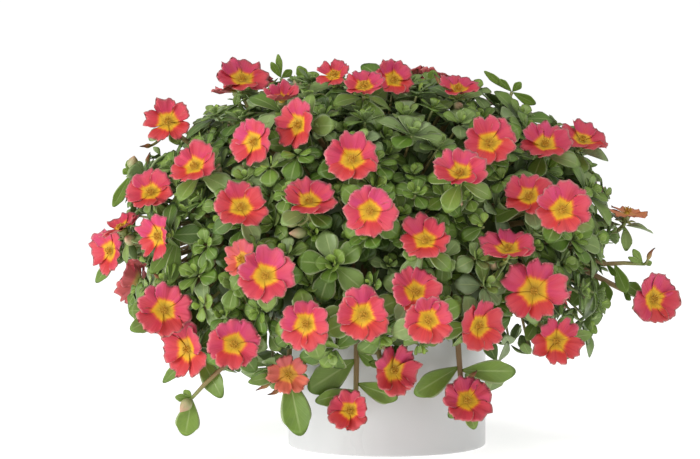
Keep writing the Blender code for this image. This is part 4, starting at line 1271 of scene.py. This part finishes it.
def petal_sheets(blooms, half, rng):
    """Front and back of every petal. A point lies at an angle round the bloom's axis and a reach, its
    share of the petal's own edge, which has a notch in the middle, falls off to the sides and ripples.
    Its height follows the cup, with a bowl near the eye, waves that grow to the edge, creases and a
    furrow that run outwards, a slant that lays each petal's one side over its neighbour, and an end
    that curls back."""
    count = len(blooms)
    shape = (count, PETALS, 1, 1)
    share = PETAL_GRID[0][None, None, :, None]
    across = PETAL_GRID[1][None, None, None, :]
    parts = (each(blooms, field) for field in ("radius", "cup", "roll"))
    radius, cup, roll = (part.reshape(count, 1, 1, 1) for part in parts)
    middle = 2 * math.pi / PETALS * np.arange(PETALS).reshape(1, PETALS, 1, 1)
    middle = middle + rng.normal(0, PETAL_TURNS_VARY, shape)
    widths = half.reshape(count, 1, 1, 1) * rng.normal(1, PETAL_WIDTHS_VARY, shape)
    angle = middle + across * widths
    notch = rng.uniform(*NOTCH, shape) * np.exp(-((across / NOTCH_WIDE) ** 2))
    phase = rng.uniform(0, 2 * math.pi, (5, *shape))
    ripple = sum(high * np.cos(pace * across + phase[i]) for i, (high, pace) in enumerate(RIPPLES))
    edge = PETAL_LENGTH - notch - PETAL_ROUND * across**4 + ripple
    reach = rng.normal(1.0, PETAL_LENGTHS_VARY, shape) * edge * share
    steep = np.radians(cup) * (1 + CUP_WAVE * np.cos(CUP_WAVES * angle + roll * CUP_WAVES_START))
    steep = steep + rng.normal(0, PETAL_RISES_VARY, shape)
    bowl = BOWL * np.sin(math.pi * share**BOWL_POWER)
    wave = sum(
        high * share**power * np.cos(pace * across + phase[2 + i])
        for i, (high, power, pace) in enumerate(WAVES)
    )
    wave = wave * (1 - WAVES_CALM * across**2)
    crease = CREASES[0] * share**2 * np.cos(CREASES[1] * across + phase[4])
    crease = crease - FURROW[0] * share**2 * np.exp(-((across / FURROW[1]) ** 2))
    slant = SLANT[0] * across * share**3 + SLANT[1] * across
    curl = -CURL[0] * share**5 * rng.uniform(*CURL[1:], shape)
    height = radius * (reach * np.sin(steep) - bowl + wave + crease + slant + curl)
    flat = radius * reach * np.cos(steep)
    local = np.stack([flat * np.cos(angle), flat * np.sin(angle), height + 0 * angle], -1)
    fullness = np.sqrt((1 - across**2) * (1 - share**4))
    body = PETAL_THICK / 2 * fullness * np.minimum(share * PETAL_THICK_WITHIN, 1)
    body = np.broadcast_to(body, local.shape[:-1])
    lift = np.stack([0 * body, 0 * body, body], -1)
    sheets = np.stack([local + lift, local - lift], 2)
    basis = frames(each(blooms, "axis"), each(blooms, "roll"))
    placed = np.einsum("bpsrci,bij->bpsrcj", sheets, basis)
    placed = placed + each(blooms, "middle")[:, None, None, None, None]
    outward = np.cos(middle)[..., None] * basis[:, 0][:, None, None, None]
    outward = outward + np.sin(middle)[..., None] * basis[:, 1][:, None, None, None]
    return placed, np.broadcast_to(reach, local.shape[:-1]), outward[..., 2]


def make_petals(name, blooms, half, faded, finish):
    """All petals of some blooms, each with its own blush and a painted sky reflection: pinker the more it
    looks up.
    """
    rng = np.random.default_rng(PETAL_SEED + len(blooms))
    sheets, reach, rise = petal_sheets(blooms, half, rng)
    count = len(blooms) * PETALS
    own = rng.normal(0, BLUSH_VARIES[0], (len(blooms), 1, 1, 1))
    own = own + rng.normal(0, BLUSH_VARIES[1], rise.shape)
    # Painted sky reflection: pinker the more the petal looks up, plus a random blush of its own and its
    # bloom's
    blush_and_sky_pink = np.clip(BLUSH_AND_SKY_PINK[0] + BLUSH_AND_SKY_PINK[1] * rise + own, 0, 1)
    place = blade_place(PETAL_GRID, rng.uniform(0, 50, count))
    tint = np.zeros((*place.shape[:3], 4))
    tint[..., 0] = blush_and_sky_pink.reshape(count, 1, 1)
    tint[..., 1] = np.repeat(faded, PETALS)[:, None, None]
    tint[..., 3] = reach.reshape(tint.shape[:3])
    replaced = sorted({bloom.name for bloom in blooms})
    sheets = sheets.reshape(count, *sheets.shape[2:])
    return blade_piece(name, sheets, place, tint, finish, "petal", replaced)


def make_stamens(blooms, finish):
    """Stamens: filaments that lean out from the middle of the bloom and end in a swollen anther."""
    rng = np.random.default_rng(PETAL_SEED + 2)
    shape = (len(blooms), STAMENS)
    turns_vary, reach_varies, height_varies = STAMEN_VARIES
    turn = GOLDEN_TURN * np.arange(STAMENS) + rng.normal(0, turns_vary, shape)
    share = np.sqrt((np.arange(STAMENS) + 0.5) / STAMENS)
    near, far = STAMEN_REACH
    reach = near + (far - near) * share + rng.normal(0, reach_varies, shape)
    low, high = STAMEN_HEIGHT
    height = high + (low - high) * share + rng.normal(0, height_varies, shape)
    t = FILAMENT_SHARES
    start = STAMEN_FOOT * share[None, :, None]
    flat = start + (reach[..., None] - start) * t**STAMEN_BEND
    local = [flat * np.cos(turn)[..., None], flat * np.sin(turn)[..., None], height[..., None] * t]
    local = np.stack(local, -1).reshape(len(blooms), -1, 3)
    basis = frames(each(blooms, "axis"), each(blooms, "roll"))
    placed = np.einsum("bni,bij->bnj", local, basis) + each(blooms, "middle")[:, None]
    paths = placed.reshape(-1, len(t), 3)
    tint = run_tint(len(paths), FILAMENT_COLOURS, rng.uniform(0, 1, (len(paths), 1)))
    return tube_piece("stamens", paths, FILAMENT_RADII, FILAMENT_SIDES, tint, finish, "petal")


def make_hearts(blooms, finish):
    """The domed middle of each bloom, under its stamens."""
    middles, axes = each(blooms, "middle"), each(blooms, "axis")
    low, high = HEART_ENDS
    paths = straight(middles + axes * low, middles + axes * high, len(HEART_RADII))
    tint = run_tint(len(blooms), HEART_COLOURS)
    return tube_piece("hearts", paths, HEART_RADII, HEART_SIDES, tint, finish, "petal")


def make_cups(blooms, finish):
    """The green cup under each bloom, from its stalk to the petals' undersides."""
    rng = np.random.default_rng(PETAL_SEED + 3)
    middles, axes = each(blooms, "middle"), each(blooms, "axis")
    paths = straight(middles - axes * CUP_FOOT, middles - axes * CUP_HEAD, len(CUP_RADII))
    tint = stem_tint(len(blooms), len(CUP_RADII), rng, 0.0, 0.0)
    return tube_piece("flower_cups", paths, CUP_RADII, CUP_SIDES, tint, finish, "leaf")


def make_buds(blooms, tips, finish, stalk_finish):
    """Plump pointed buds, in the photograph's places and on some shoots of the far side, the first on
    short stalks of their own."""
    rng = np.random.default_rng(PETAL_SEED + 4)
    starts, middles = tip_places(BUDS, blooms)
    own = len(starts)
    far = tips[(tips[:, 1] > FAR_SIDE) & (tips[:, 2] > POT_HEIGHT)]
    far = far[rng.choice(len(far), BACK_BUDS, replace=False)]
    places = np.concatenate([middles, far])
    count = len(places)
    ways = mound_normal(places) * BUD_OUT + (0, 0, BUD_UP) + rng.normal(0, BUD_VARIES, places.shape)
    ways = unit(ways)
    leans = np.array([[BUD_LEANS if tip.bearer > 0 else 0.0] for tip in BUDS])
    ways[:own] = unit(ways[:own] * leans + unit(middles - starts))
    length = rng.uniform(*BUD_LENGTH, (count, 1))
    feet = places - ways * length * BUD_MIDDLE
    paths = straight(feet, feet + ways * length, len(BUD_RADII))
    tint = run_tint(count, np.linspace(0, 1, len(BUD_RADII)), rng.uniform(0, 1, (count, 1)))
    radii = BUD_RADII * rng.uniform(*BUD_SIZES, (count, 1))
    tube_piece("buds", paths, radii, BUD_SIDES, tint, finish, "petal")
    short_stalks("bud_stalks", starts, feet[:own], ways[:own], rng, stalk_finish)


def short_stalks(name, starts, feet, ways, rng, finish):
    """Thin stalks from the stems that bear them to the feet of buds or withered flowers."""
    points, sides = SHORT_DETAIL
    sag = feet - ways * SHORT_BEND
    pulled = starts * (1 - SHORT_PULL) + sag * SHORT_PULL
    paths = curved(starts, pulled, sag, feet + ways * SHORT_INTO, points)
    tint = stem_tint(len(paths), points, rng, 0.0, SHORT_WOODY)
    tube_piece(name, paths, np.linspace(*SHORT_RADII, points), sides, tint, finish, "leaf")


def make_withered(blooms, finish, stalk_finish):
    """Withered flowers: thin bent cones on short stalks."""
    rng = np.random.default_rng(PETAL_SEED + 5)
    starts, middles = tip_places(WITHERED, blooms)
    ways = unit(unit(middles - starts) + (0, 0, DRY_UP) + rng.normal(0, DRY_VARIES, middles.shape))
    bent = unit(ways + rng.normal(0, DRY_BENT, middles.shape))
    feet = middles - ways * DRY_FOOT
    body, neck = (feet + ways * far for far in DRY_STRAIGHT)
    paths = curved(feet, body, neck, neck + bent * DRY_TIP, len(DRY_RADII))
    tint = run_tint(len(feet), np.linspace(0, 1, len(DRY_RADII)), 0.0)
    tube_piece("withered_tips", paths, DRY_RADII, DRY_SIDES, tint, finish, "petal")
    short_stalks("withered_stalks", starts, feet, ways, rng, stalk_finish)


def make_core(finish):
    """The packed middle of the mound, dark with painted shade: a ball drawn out to the mound's form, made
    smaller, uneven, level underneath, and clear of the pot's rim."""
    rows, columns = CORE_GRID
    fall = math.pi * (np.arange(rows) + 1) / (rows + 1)
    turn = 2 * math.pi * np.arange(columns) / columns
    x = np.sin(fall)[:, None] * np.cos(turn)
    y = np.sin(fall)[:, None] * np.sin(turn)
    z = np.cos(fall)[:, None] + 0 * x
    directions = np.concatenate([np.stack([x, y, z], -1).reshape(-1, 3), [(0, 0, 1.0), (0, 0, -1.0)]])
    uneven = np.sin(19 * directions[:, 0] + 5 * directions[:, 2]) * np.sin(17 * directions[:, 1])
    points = mound_point(directions, CORE_SHARE + CORE_UNEVEN * uneven)
    over_pot = np.hypot(points[:, 0], points[:, 1]) < CORE_HOLLOW_RADIUS
    points[:, 2] = np.maximum(points[:, 2], np.where(over_pot, CORE_HOLLOW_TOP, CORE_UNDERSIDE))
    faces = [face[::-1] for face in ball_faces(rows, columns)]
    return make_piece("shaded_core", points[None], faces, finish, "leaf")


# Pot and soil

def make_pot(finish):
    """The straight round pot: a soft foot, plain walls and a rim rounded on both sides."""
    inner, middle, half = POT_RADIUS - POT_WALL, POT_RADIUS - POT_WALL / 2, POT_WALL / 2
    rim = math.pi * (1 - np.arange(RIM_STEPS + 1) / RIM_STEPS)
    rim = np.stack([middle + half * np.cos(rim), POT_HEIGHT - RIM_ROUND + RIM_ROUND * np.sin(rim)], 1)
    foot = -math.pi / 2 * np.arange(FOOT_STEPS + 1) / FOOT_STEPS
    foot = np.stack([POT_RADIUS - RIM_ROUND * (1 - np.cos(foot)), RIM_ROUND * (1 + np.sin(foot))], 1)
    heights = np.linspace(POT_HEIGHT - WALL_BELOW_RIM, RIM_ROUND + WALL_ABOVE_FOOT, WALL_RINGS)
    walls = [(POT_RADIUS, height) for height in heights]
    profile = [(0, POT_FLOOR), (inner - INNER_BEVEL, POT_FLOOR), (inner, POT_FLOOR + INNER_BEVEL)]
    profile += [*rim, *walls, *foot, (FOOT_FLAT, 0.0), (0, 0)]
    return turned_piece("glazed_pot", profile, POT_STEPS, finish, "pot_glaze", ["pot"])


def soil_relief(x, y):
    """Lumps of soil: a sum of waves that run in many directions, held down at the pot's wall."""
    rng = np.random.default_rng(SHADE_SEED)
    total = 0 * x
    for pace in SOIL_PACES:
        for angle in rng.uniform(0, 2 * math.pi, 3):
            run = (x * math.cos(angle) + y * math.sin(angle)) * pace
            wave = np.sin(run + rng.uniform(0, 6) + 1.3 * np.sin(run * 0.37))
            total = total + wave * SOIL_PACES[0] / pace
    edge = np.clip((POT_RADIUS - POT_WALL - np.hypot(x, y)) / SOIL_EDGE, 0, 1)
    return SOIL_LUMPS * total * edge


def soil_dome(share):
    """How high the soil stands at a share of its radius, without its lumps."""
    return SOIL_TOP + SOIL_DOME * (1 - 2 * share**2)


def make_soil(finish):
    """The plug of soil, lumpy on top, and its loose crumbs."""
    outer = POT_RADIUS - POT_WALL - GAP * 1.5
    floor = POT_FLOOR + GAP
    top = [(outer * share, soil_dome(share)) for share in SOIL_RINGS]
    side = [(outer, height) for height in (*SOIL_SIDES, floor)]
    profile = [(0, SOIL_TOP + SOIL_DOME), *top, *side, (0, floor)]

    def relief(x, y):
        """Lumps on the top's rings only."""
        lumps = soil_relief(x, y)
        lumps[len(top) :] = 0
        return lumps

    turned_piece("soil_plug", profile, SOIL_STEPS, finish, "soil", ["soil"], relief)
    rng = np.random.default_rng(SHADE_SEED + 1)
    reach = outer * CRUMB_REACH * np.sqrt(rng.uniform(0, 1, CRUMBS))
    turn = rng.uniform(0, 2 * math.pi, CRUMBS)
    x, y = reach * np.cos(turn), reach * np.sin(turn)
    middles = np.stack([x, y, soil_dome(reach / outer) + soil_relief(x, y)], 1)
    size = rng.uniform(*CRUMB_SIZE, (CRUMBS, 1))
    ways = unit(rng.normal(0, 1, (CRUMBS, 3)))
    paths = straight(middles - ways * size / 2, middles + ways * size / 2, len(CRUMB_FORM))
    tint = run_tint(CRUMBS, CRUMB_FORM)
    tint[..., 0] = (rng.uniform(0, 1, CRUMBS) > PALE_ABOVE)[:, None]
    return tube_piece("soil_crumbs", paths, CRUMB_FORM * size, CRUMB_SIDES, tint, finish, "soil")


# Finishes

class Finish:
    """A material with a Principled BSDF, and short ways to add nodes to it."""

    def __init__(self, name, **settings):
        self.material = bpy.data.materials.new(name)
        self.material.use_nodes = True
        self.tree = self.material.node_tree
        self.shader = self.tree.nodes["Principled BSDF"]
        for label, value in settings.items():
            self.shader.inputs[label.replace("_", " ")].default_value = value

    def node(self, kind, *inputs, **settings):
        """Adds a node. Inputs are in its sockets' order: a link, a value, or None to leave it be."""
        made = self.tree.nodes.new("ShaderNode" + kind)
        for label, value in settings.items():
            setattr(made, label, value)
        for socket, value in zip(made.inputs, inputs):
            if isinstance(value, bpy.types.NodeSocket):
                self.tree.links.new(value, socket)
            elif value is not None:
                socket.default_value = value
        return made

    def maths(self, operation, *inputs):
        """A value worked out of others by one operation."""
        return self.node("Math", *inputs, operation=operation).outputs[0]

    def times(self, first, second):
        """One value times another."""
        return self.maths("MULTIPLY", first, second)

    def plus(self, first, second):
        """One value plus another."""
        return self.maths("ADD", first, second)

    def minus(self, first, second):
        """One value less another."""
        return self.maths("SUBTRACT", first, second)

    def span(self, value, low, high, first=0.0, last=1.0):
        """A value that goes smoothly from first to last as the other goes from low to high."""
        made = self.node("MapRange", value, low, high, first, last, interpolation_type="SMOOTHSTEP")
        return made.outputs[0]

    def mix(self, share, first, second):
        """A colour between two colours."""
        made = self.node("Mix", data_type="RGBA", clamp_factor=True)
        for socket, value in zip((made.inputs[0], made.inputs[6], made.inputs[7]), (share, first, second)):
            if isinstance(value, bpy.types.NodeSocket):
                self.tree.links.new(value, socket)
            else:
                socket.default_value = value if isinstance(value, float) else (*value, 1.0)
        return made.outputs[2]

    def ramp(self, value, stops):
        """A colour read from stops, each a place and a colour."""
        made = self.node("ValToRGB", value)
        points = made.color_ramp.elements
        while len(points) < len(stops):
            points.new(0.5)
        for point, (place, colour) in zip(points, stops):
            point.position = place
            point.color = (*colour, 1.0)
        return made.outputs[0]

    def noise(self, vector, scale, detail=3.0):
        """Smooth noise from 0 to 1 at a place."""
        return self.node("TexNoise", vector, None, scale, detail).outputs[0]

    def streaks(self, across, along, paces, own, detail):
        """Noise drawn out along a petal: its paces across and along it, and the petal's own number."""
        where = self.node("CombineXYZ", self.times(across, paces[0]), self.times(along, paces[1]), own)
        return self.noise(where.outputs[0], 1.0, detail)

    def attribute(self, name):
        """The attribute's parts: red, green, blue and alpha, or x, y and z."""
        made = self.node("Attribute", attribute_name=name)
        split = self.node("SeparateXYZ", made.outputs["Vector"])
        return (*split.outputs, made.outputs["Alpha"])

    def spot(self):
        """The place of the shaded point in its piece."""
        return self.node("TexCoord").outputs["Object"]

    def set(self, label, value):
        """Gives one of the shader's inputs its value."""
        self.tree.links.new(value, self.shader.inputs[label])

    def bump(self, height, strength, distance):
        """Fine relief from a height, at most as deep as distance says."""
        made = self.node("Bump")
        made.inputs["Strength"].default_value = strength
        made.inputs["Distance"].default_value = distance
        self.tree.links.new(height, made.inputs["Height"])
        self.tree.links.new(made.outputs[0], self.shader.inputs["Normal"])


def leaf_finish(name, light):
    """A fleshy leaf: deep, mid or greyed green by the leaf's tone, yellower when young, with a pale
    midrib, faint side veins, a thin pale rim, mottling, and a paler underside. Where light is under 1,
    the green is darkened with painted shade."""
    made = Finish(name, Roughness=0.45, Coat_Weight=0.10, Coat_Roughness=0.35, Specular_IOR_Level=0.4)
    across, along, _, _ = made.attribute("place")
    tone, young, back, _ = made.attribute("tint")
    off = made.maths("ABSOLUTE", across)
    mottle = made.noise(made.spot(), LEAF_MOTTLE)
    broad = made.noise(made.spot(), LEAF_CLOUD)
    shade = made.plus(made.times(tone, GREEN_BY_TONE), made.times(broad, GREEN_BY_CLOUD))
    green = made.ramp(shade, LEAF_GREENS)
    green = made.mix(young, green, YOUNG_GREEN)
    green = made.mix(made.span(mottle, 0.35, 0.75, 0.0, 0.30), green, MOTTLED_GREEN)
    rib = made.times(made.span(off, 0.02, 0.11, 1.0, 0.0), made.span(along, 0.70, 1.0, 1.0, 0.1))
    green = made.mix(made.times(rib, 0.42), green, RIB_GREEN)
    slope = made.minus(made.times(along, VEIN_COUNT), made.times(off, VEIN_SLANT))
    veins = made.span(made.maths("SINE", made.times(slope, 2 * math.pi)), 0.80, 1.0)
    green = made.mix(made.times(veins, 0.10), green, VEIN_GREEN)
    green = made.mix(made.times(made.span(off, 0.82, 1.0), 0.80), green, RIM_GREEN)
    green = made.mix(made.span(back, 0.55, 0.95, 0.0, 0.65), green, UNDERSIDE_GREEN)
    # Painted shade: leaves deep in the mound are darkened towards a near-black green
    if light < 1.0:
        green = made.mix(1.0 - light, green, PAINTED_SHADE_GREEN)
    made.set("Base Color", green)
    made.set("Roughness", made.span(mottle, 0.3, 0.7, 0.36, 0.52))
    grooves = made.plus(made.times(rib, -0.8), made.times(mottle, 0.5))
    made.bump(made.plus(grooves, made.times(veins, -0.25)), 0.35, 0.0006)
    return made.material


def petal_finish():
    """A silky petal: a golden eye with a ragged orange border, coral red that turns pink outwards and,
    as painted sky reflection, on the petals that look up, fine lines that run outwards, a pale edge and
    a paler back."""
    made = Finish("silky_petal", Roughness=0.55, Specular_IOR_Level=0.3)
    made.shader.inputs["Sheen Weight"].default_value = 0.12
    made.shader.inputs["Sheen Roughness"].default_value = 0.4
    made.shader.inputs["Sheen Tint"].default_value = PETAL_SHEEN
    across, along, own, _ = made.attribute("place")
    blush_and_sky_pink, faded, back, reach = made.attribute("tint")
    lines = made.streaks(across, along, PETAL_LINES, own, 4.0)
    patch = made.streaks(across, along, PETAL_PATCHES, own, 2.0)
    ragged = made.times(made.minus(lines, 0.5), EYE_RAGGED)
    square = made.times(made.maths("MINIMUM", made.times(across, across), 0.5), EYE_ANGULAR)
    outward = made.plus(made.times(reach, made.minus(1.0, square)), ragged)
    # Random blush and painted sky reflection: petals that look up are mixed towards rose pink
    red = made.mix(blush_and_sky_pink, DEEP_RED, ROSE_PINK)
    red = made.mix(made.span(patch, 0.35, 0.7, 0.0, 0.7), red, CORAL_RED)
    red = made.mix(made.span(outward, 0.45, 1.0, 0.0, 0.40), red, OUTER_PINK)
    red = made.mix(made.span(lines, 0.50, 0.72, 0.0, 0.45), red, LINE_RED)
    eye = made.mix(made.span(outward, *EYE_BORDER), made.ramp(outward, EYE_GOLDS), EYE_ORANGE)
    colour = made.mix(made.span(outward, *EYE_END), eye, red)
    colour = made.mix(made.span(along, 0.90, 1.0, 0.0, 0.55), colour, PALE_EDGE)
    colour = made.mix(made.times(faded, 0.75), colour, FADED_ORANGE)
    under = made.mix(made.span(reach, 0.18, 0.48), UNDER_YELLOW, UNDER_PINK)
    colour = made.mix(made.span(back, 0.55, 0.95, 0.0, 0.75), colour, under)
    made.set("Base Color", colour)
    made.bump(lines, 0.35, 0.0007)
    return made.material


def stem_finish():
    """Stems: green where young, brown and olive where woody, with fine streaks."""
    made = Finish("fleshy_stem", Roughness=0.5, Coat_Weight=0.1, Coat_Roughness=0.4)
    woody, tone, _, _ = made.attribute("tint")
    streak = made.noise(made.spot(), STEM_STREAK)
    colour = made.ramp(made.plus(woody, made.times(made.minus(streak, 0.5), 0.3)), STEM_COLOURS)
    colour = made.mix(made.times(tone, 0.35), colour, STEM_RED)
    made.set("Base Color", colour)
    made.bump(streak, 0.3, 0.0004)
    return made.material


def bloom_part_finish(name, stops, roughness):
    """A finish that runs through its colours from the foot to the tip of a piece, with fine speckle."""
    made = Finish(name, Roughness=roughness)
    run, tone, _, _ = made.attribute("tint")
    speckle = made.noise(made.spot(), PART_SPECKLE)
    shift = made.times(made.minus(speckle, 0.5), 0.5)
    colour = made.ramp(made.plus(run, shift), stops)
    colour = made.mix(made.times(tone, 0.25), colour, stops[0][1])
    made.set("Base Color", colour)
    made.bump(speckle, 0.3, 0.0003)
    return made.material


def pot_finish():
    """White glaze, faintly uneven, a little duller at the foot."""
    made = Finish("white_glaze", Roughness=0.3, Coat_Weight=0.25, Coat_Roughness=0.12)
    spot = made.spot()
    cloud = made.noise(spot, GLAZE_CLOUDS)
    grain = made.noise(spot, GLAZE_GRAIN)
    white = made.mix(made.span(cloud, 0.35, 0.7, 0.0, 0.6), GLAZE_WHITE, GLAZE_CLOUD)
    height = made.node("SeparateXYZ", spot).outputs[2]
    white = made.mix(made.span(height, 0.0, 0.004, 0.35, 0.0), white, GLAZE_FOOT)
    made.set("Base Color", white)
    made.set("Roughness", made.span(cloud, 0.3, 0.7, 0.26, 0.38))
    made.bump(made.plus(cloud, made.times(grain, 0.04)), 0.12, 0.0008)
    return made.material


def soil_finish():
    """Damp potting soil: dark brown with lighter fibres and pale grit."""
    made = Finish("potting_soil", Roughness=0.95, Specular_IOR_Level=0.2)
    pale = made.attribute("tint")[0]
    spot = made.spot()
    coarse, fine = made.noise(spot, SOIL_COARSE), made.noise(spot, SOIL_FINE)
    brown = made.ramp(coarse, SOIL_BROWNS)
    brown = made.mix(made.span(fine, 0.60, 0.75, 0.0, 0.6), brown, SOIL_FIBRE)
    brown = made.mix(pale, brown, SOIL_GRIT)
    made.set("Base Color", brown)
    made.bump(made.plus(coarse, fine), 0.8, 0.0015)
    return made.material


def floor_finish():
    """The pale floor: matt white, lifted a little so that it reads as plain white paper."""
    made = Finish("white_paper", Roughness=0.9, Specular_IOR_Level=0.0, Emission_Strength=FLOOR_GLOW)
    made.shader.inputs["Base Color"].default_value = PAPER
    made.shader.inputs["Emission Color"].default_value = WHITE
    return made.material


# The studio

def make_floor():
    """A bare square floor under the pot, wide enough to fill the picture."""
    places = [(x * FLOOR_HALF, y * FLOOR_HALF, 0) for x, y in ((-1, -1), (1, -1), (1, 1), (-1, 1))]
    mesh = bpy.data.meshes.new("studio_floor")
    mesh.from_pydata(places, [], [(0, 1, 2, 3)])
    mesh.materials.append(floor_finish())
    floor = bpy.data.objects.new("studio_floor", mesh)
    bpy.context.scene.collection.objects.link(floor)


def make_light(name, place, size, power):
    """A soft square light that looks at the middle of the mound."""
    lamp = bpy.data.lights.new(name, "AREA")
    lamp.shape = "SQUARE"
    lamp.size = size
    lamp.energy = power
    light = bpy.data.objects.new(name, lamp)
    bpy.context.scene.collection.objects.link(light)
    light.location = place
    light.rotation_euler = (Vector(MOUND_CENTRE) - Vector(place)).to_track_quat("-Z", "Y").to_euler()


def make_studio():
    """White surroundings, a big key light and a low one on the left, and a high one on the right."""
    world = bpy.data.worlds.new("studio")
    world.use_nodes = True
    shader = world.node_tree.nodes["Background"]
    shader.inputs["Color"].default_value = WHITE
    shader.inputs["Strength"].default_value = SURROUNDINGS
    bpy.context.scene.world = world
    for light in LIGHTS:
        make_light(*light)
    bpy.context.scene.view_settings.view_transform = "Standard"
    bpy.context.scene.view_settings.look = "None"


def make_camera():
    """A long lens at the photograph's angle, level from side to side and tilted down a little."""
    lens = bpy.data.cameras.new("camera")
    lens.sensor_fit = "HORIZONTAL"
    lens.sensor_width = SENSOR_WIDTH
    lens.lens = SENSOR_WIDTH * VIEW_DISTANCE / METRES_A_PIXEL / FRAME_SIZE[0]
    lens.clip_end = FARTHEST_SEEN
    camera = bpy.data.objects.new("camera", lens)
    bpy.context.scene.collection.objects.link(camera)
    camera.location = AIM - FORWARD * VIEW_DISTANCE
    camera.rotation_euler = (math.pi / 2 - VIEW_TILT, 0.0, 0.0)
    bpy.context.scene.camera = camera


def make_plant():
    """Everything that grows: the petals first, then the small parts, the leaves, and what bears them."""
    front, back = front_blooms(), back_blooms()
    blooms = front + back
    shoots = shoot_places(blooms)
    # The second leaf finish, for the shaded leaves and the core, is darkened with painted shade
    leaf, shaded = leaf_finish("fleshy_leaf", 1.0), leaf_finish("shaded_leaf", SHADE_LIGHT)
    stem, petal = stem_finish(), petal_finish()
    faded = np.array([FADED.get(number, 0.0) for number in range(1, len(front) + 1)])
    half = np.full(len(blooms), PETAL_HALF)
    half[np.array(NARROW) - 1] = NARROW_HALF
    make_petals("petals_front", front, half[: len(front)], faded, petal)
    make_petals("petals_back", back, half[len(front) :], np.zeros(len(back)), petal)
    anther = bloom_part_finish("yellow_stamen", STAMEN_GOLDS, 0.7)
    heart = bloom_part_finish("ochre_heart", HEART_OCHRES, 0.8)
    bud = bloom_part_finish("cream_bud", BUD_CREAMS, 0.5)
    dead = bloom_part_finish("dry_tip", DRY_BROWNS, 0.8)
    make_stamens(blooms, anther)
    make_hearts(blooms, heart)
    make_cups(blooms, stem)
    big, small = model_shoots(blooms, shoots)
    leaf_piece("shoot_leaves", big, leaf, BIG_GRID, ["foliage"])
    leaf_piece("shoot_tips", small, leaf)
    leaf_piece("whorl_leaves", model_whorls(blooms), leaf, BIG_GRID)
    leaf_piece("single_leaves", single_leaves(blooms), leaf, FINE_GRID)
    rosettes, tips = small_rosettes(blooms, shoots)
    half = len(rosettes.foot) // 2
    leaf_piece("rosette_leaves_upper", chosen(rosettes, slice(0, half)), leaf)
    leaf_piece("rosette_leaves_lower", chosen(rosettes, slice(half, None)), leaf)
    leaf_piece("shaded_leaves", shade_leaves(blooms), shaded)
    make_core(shaded)
    make_stems(blooms, shoots, tips, stem)
    make_buds(blooms, tips, bud, stem)
    make_withered(blooms, dead, stem)


def corners(box):
    """The two corners of a box, as plain numbers."""
    return [[float(value) for value in corner] for corner in box]


make_floor()
make_studio()
make_camera()
make_pot(pot_finish())
make_soil(soil_finish())
make_plant()
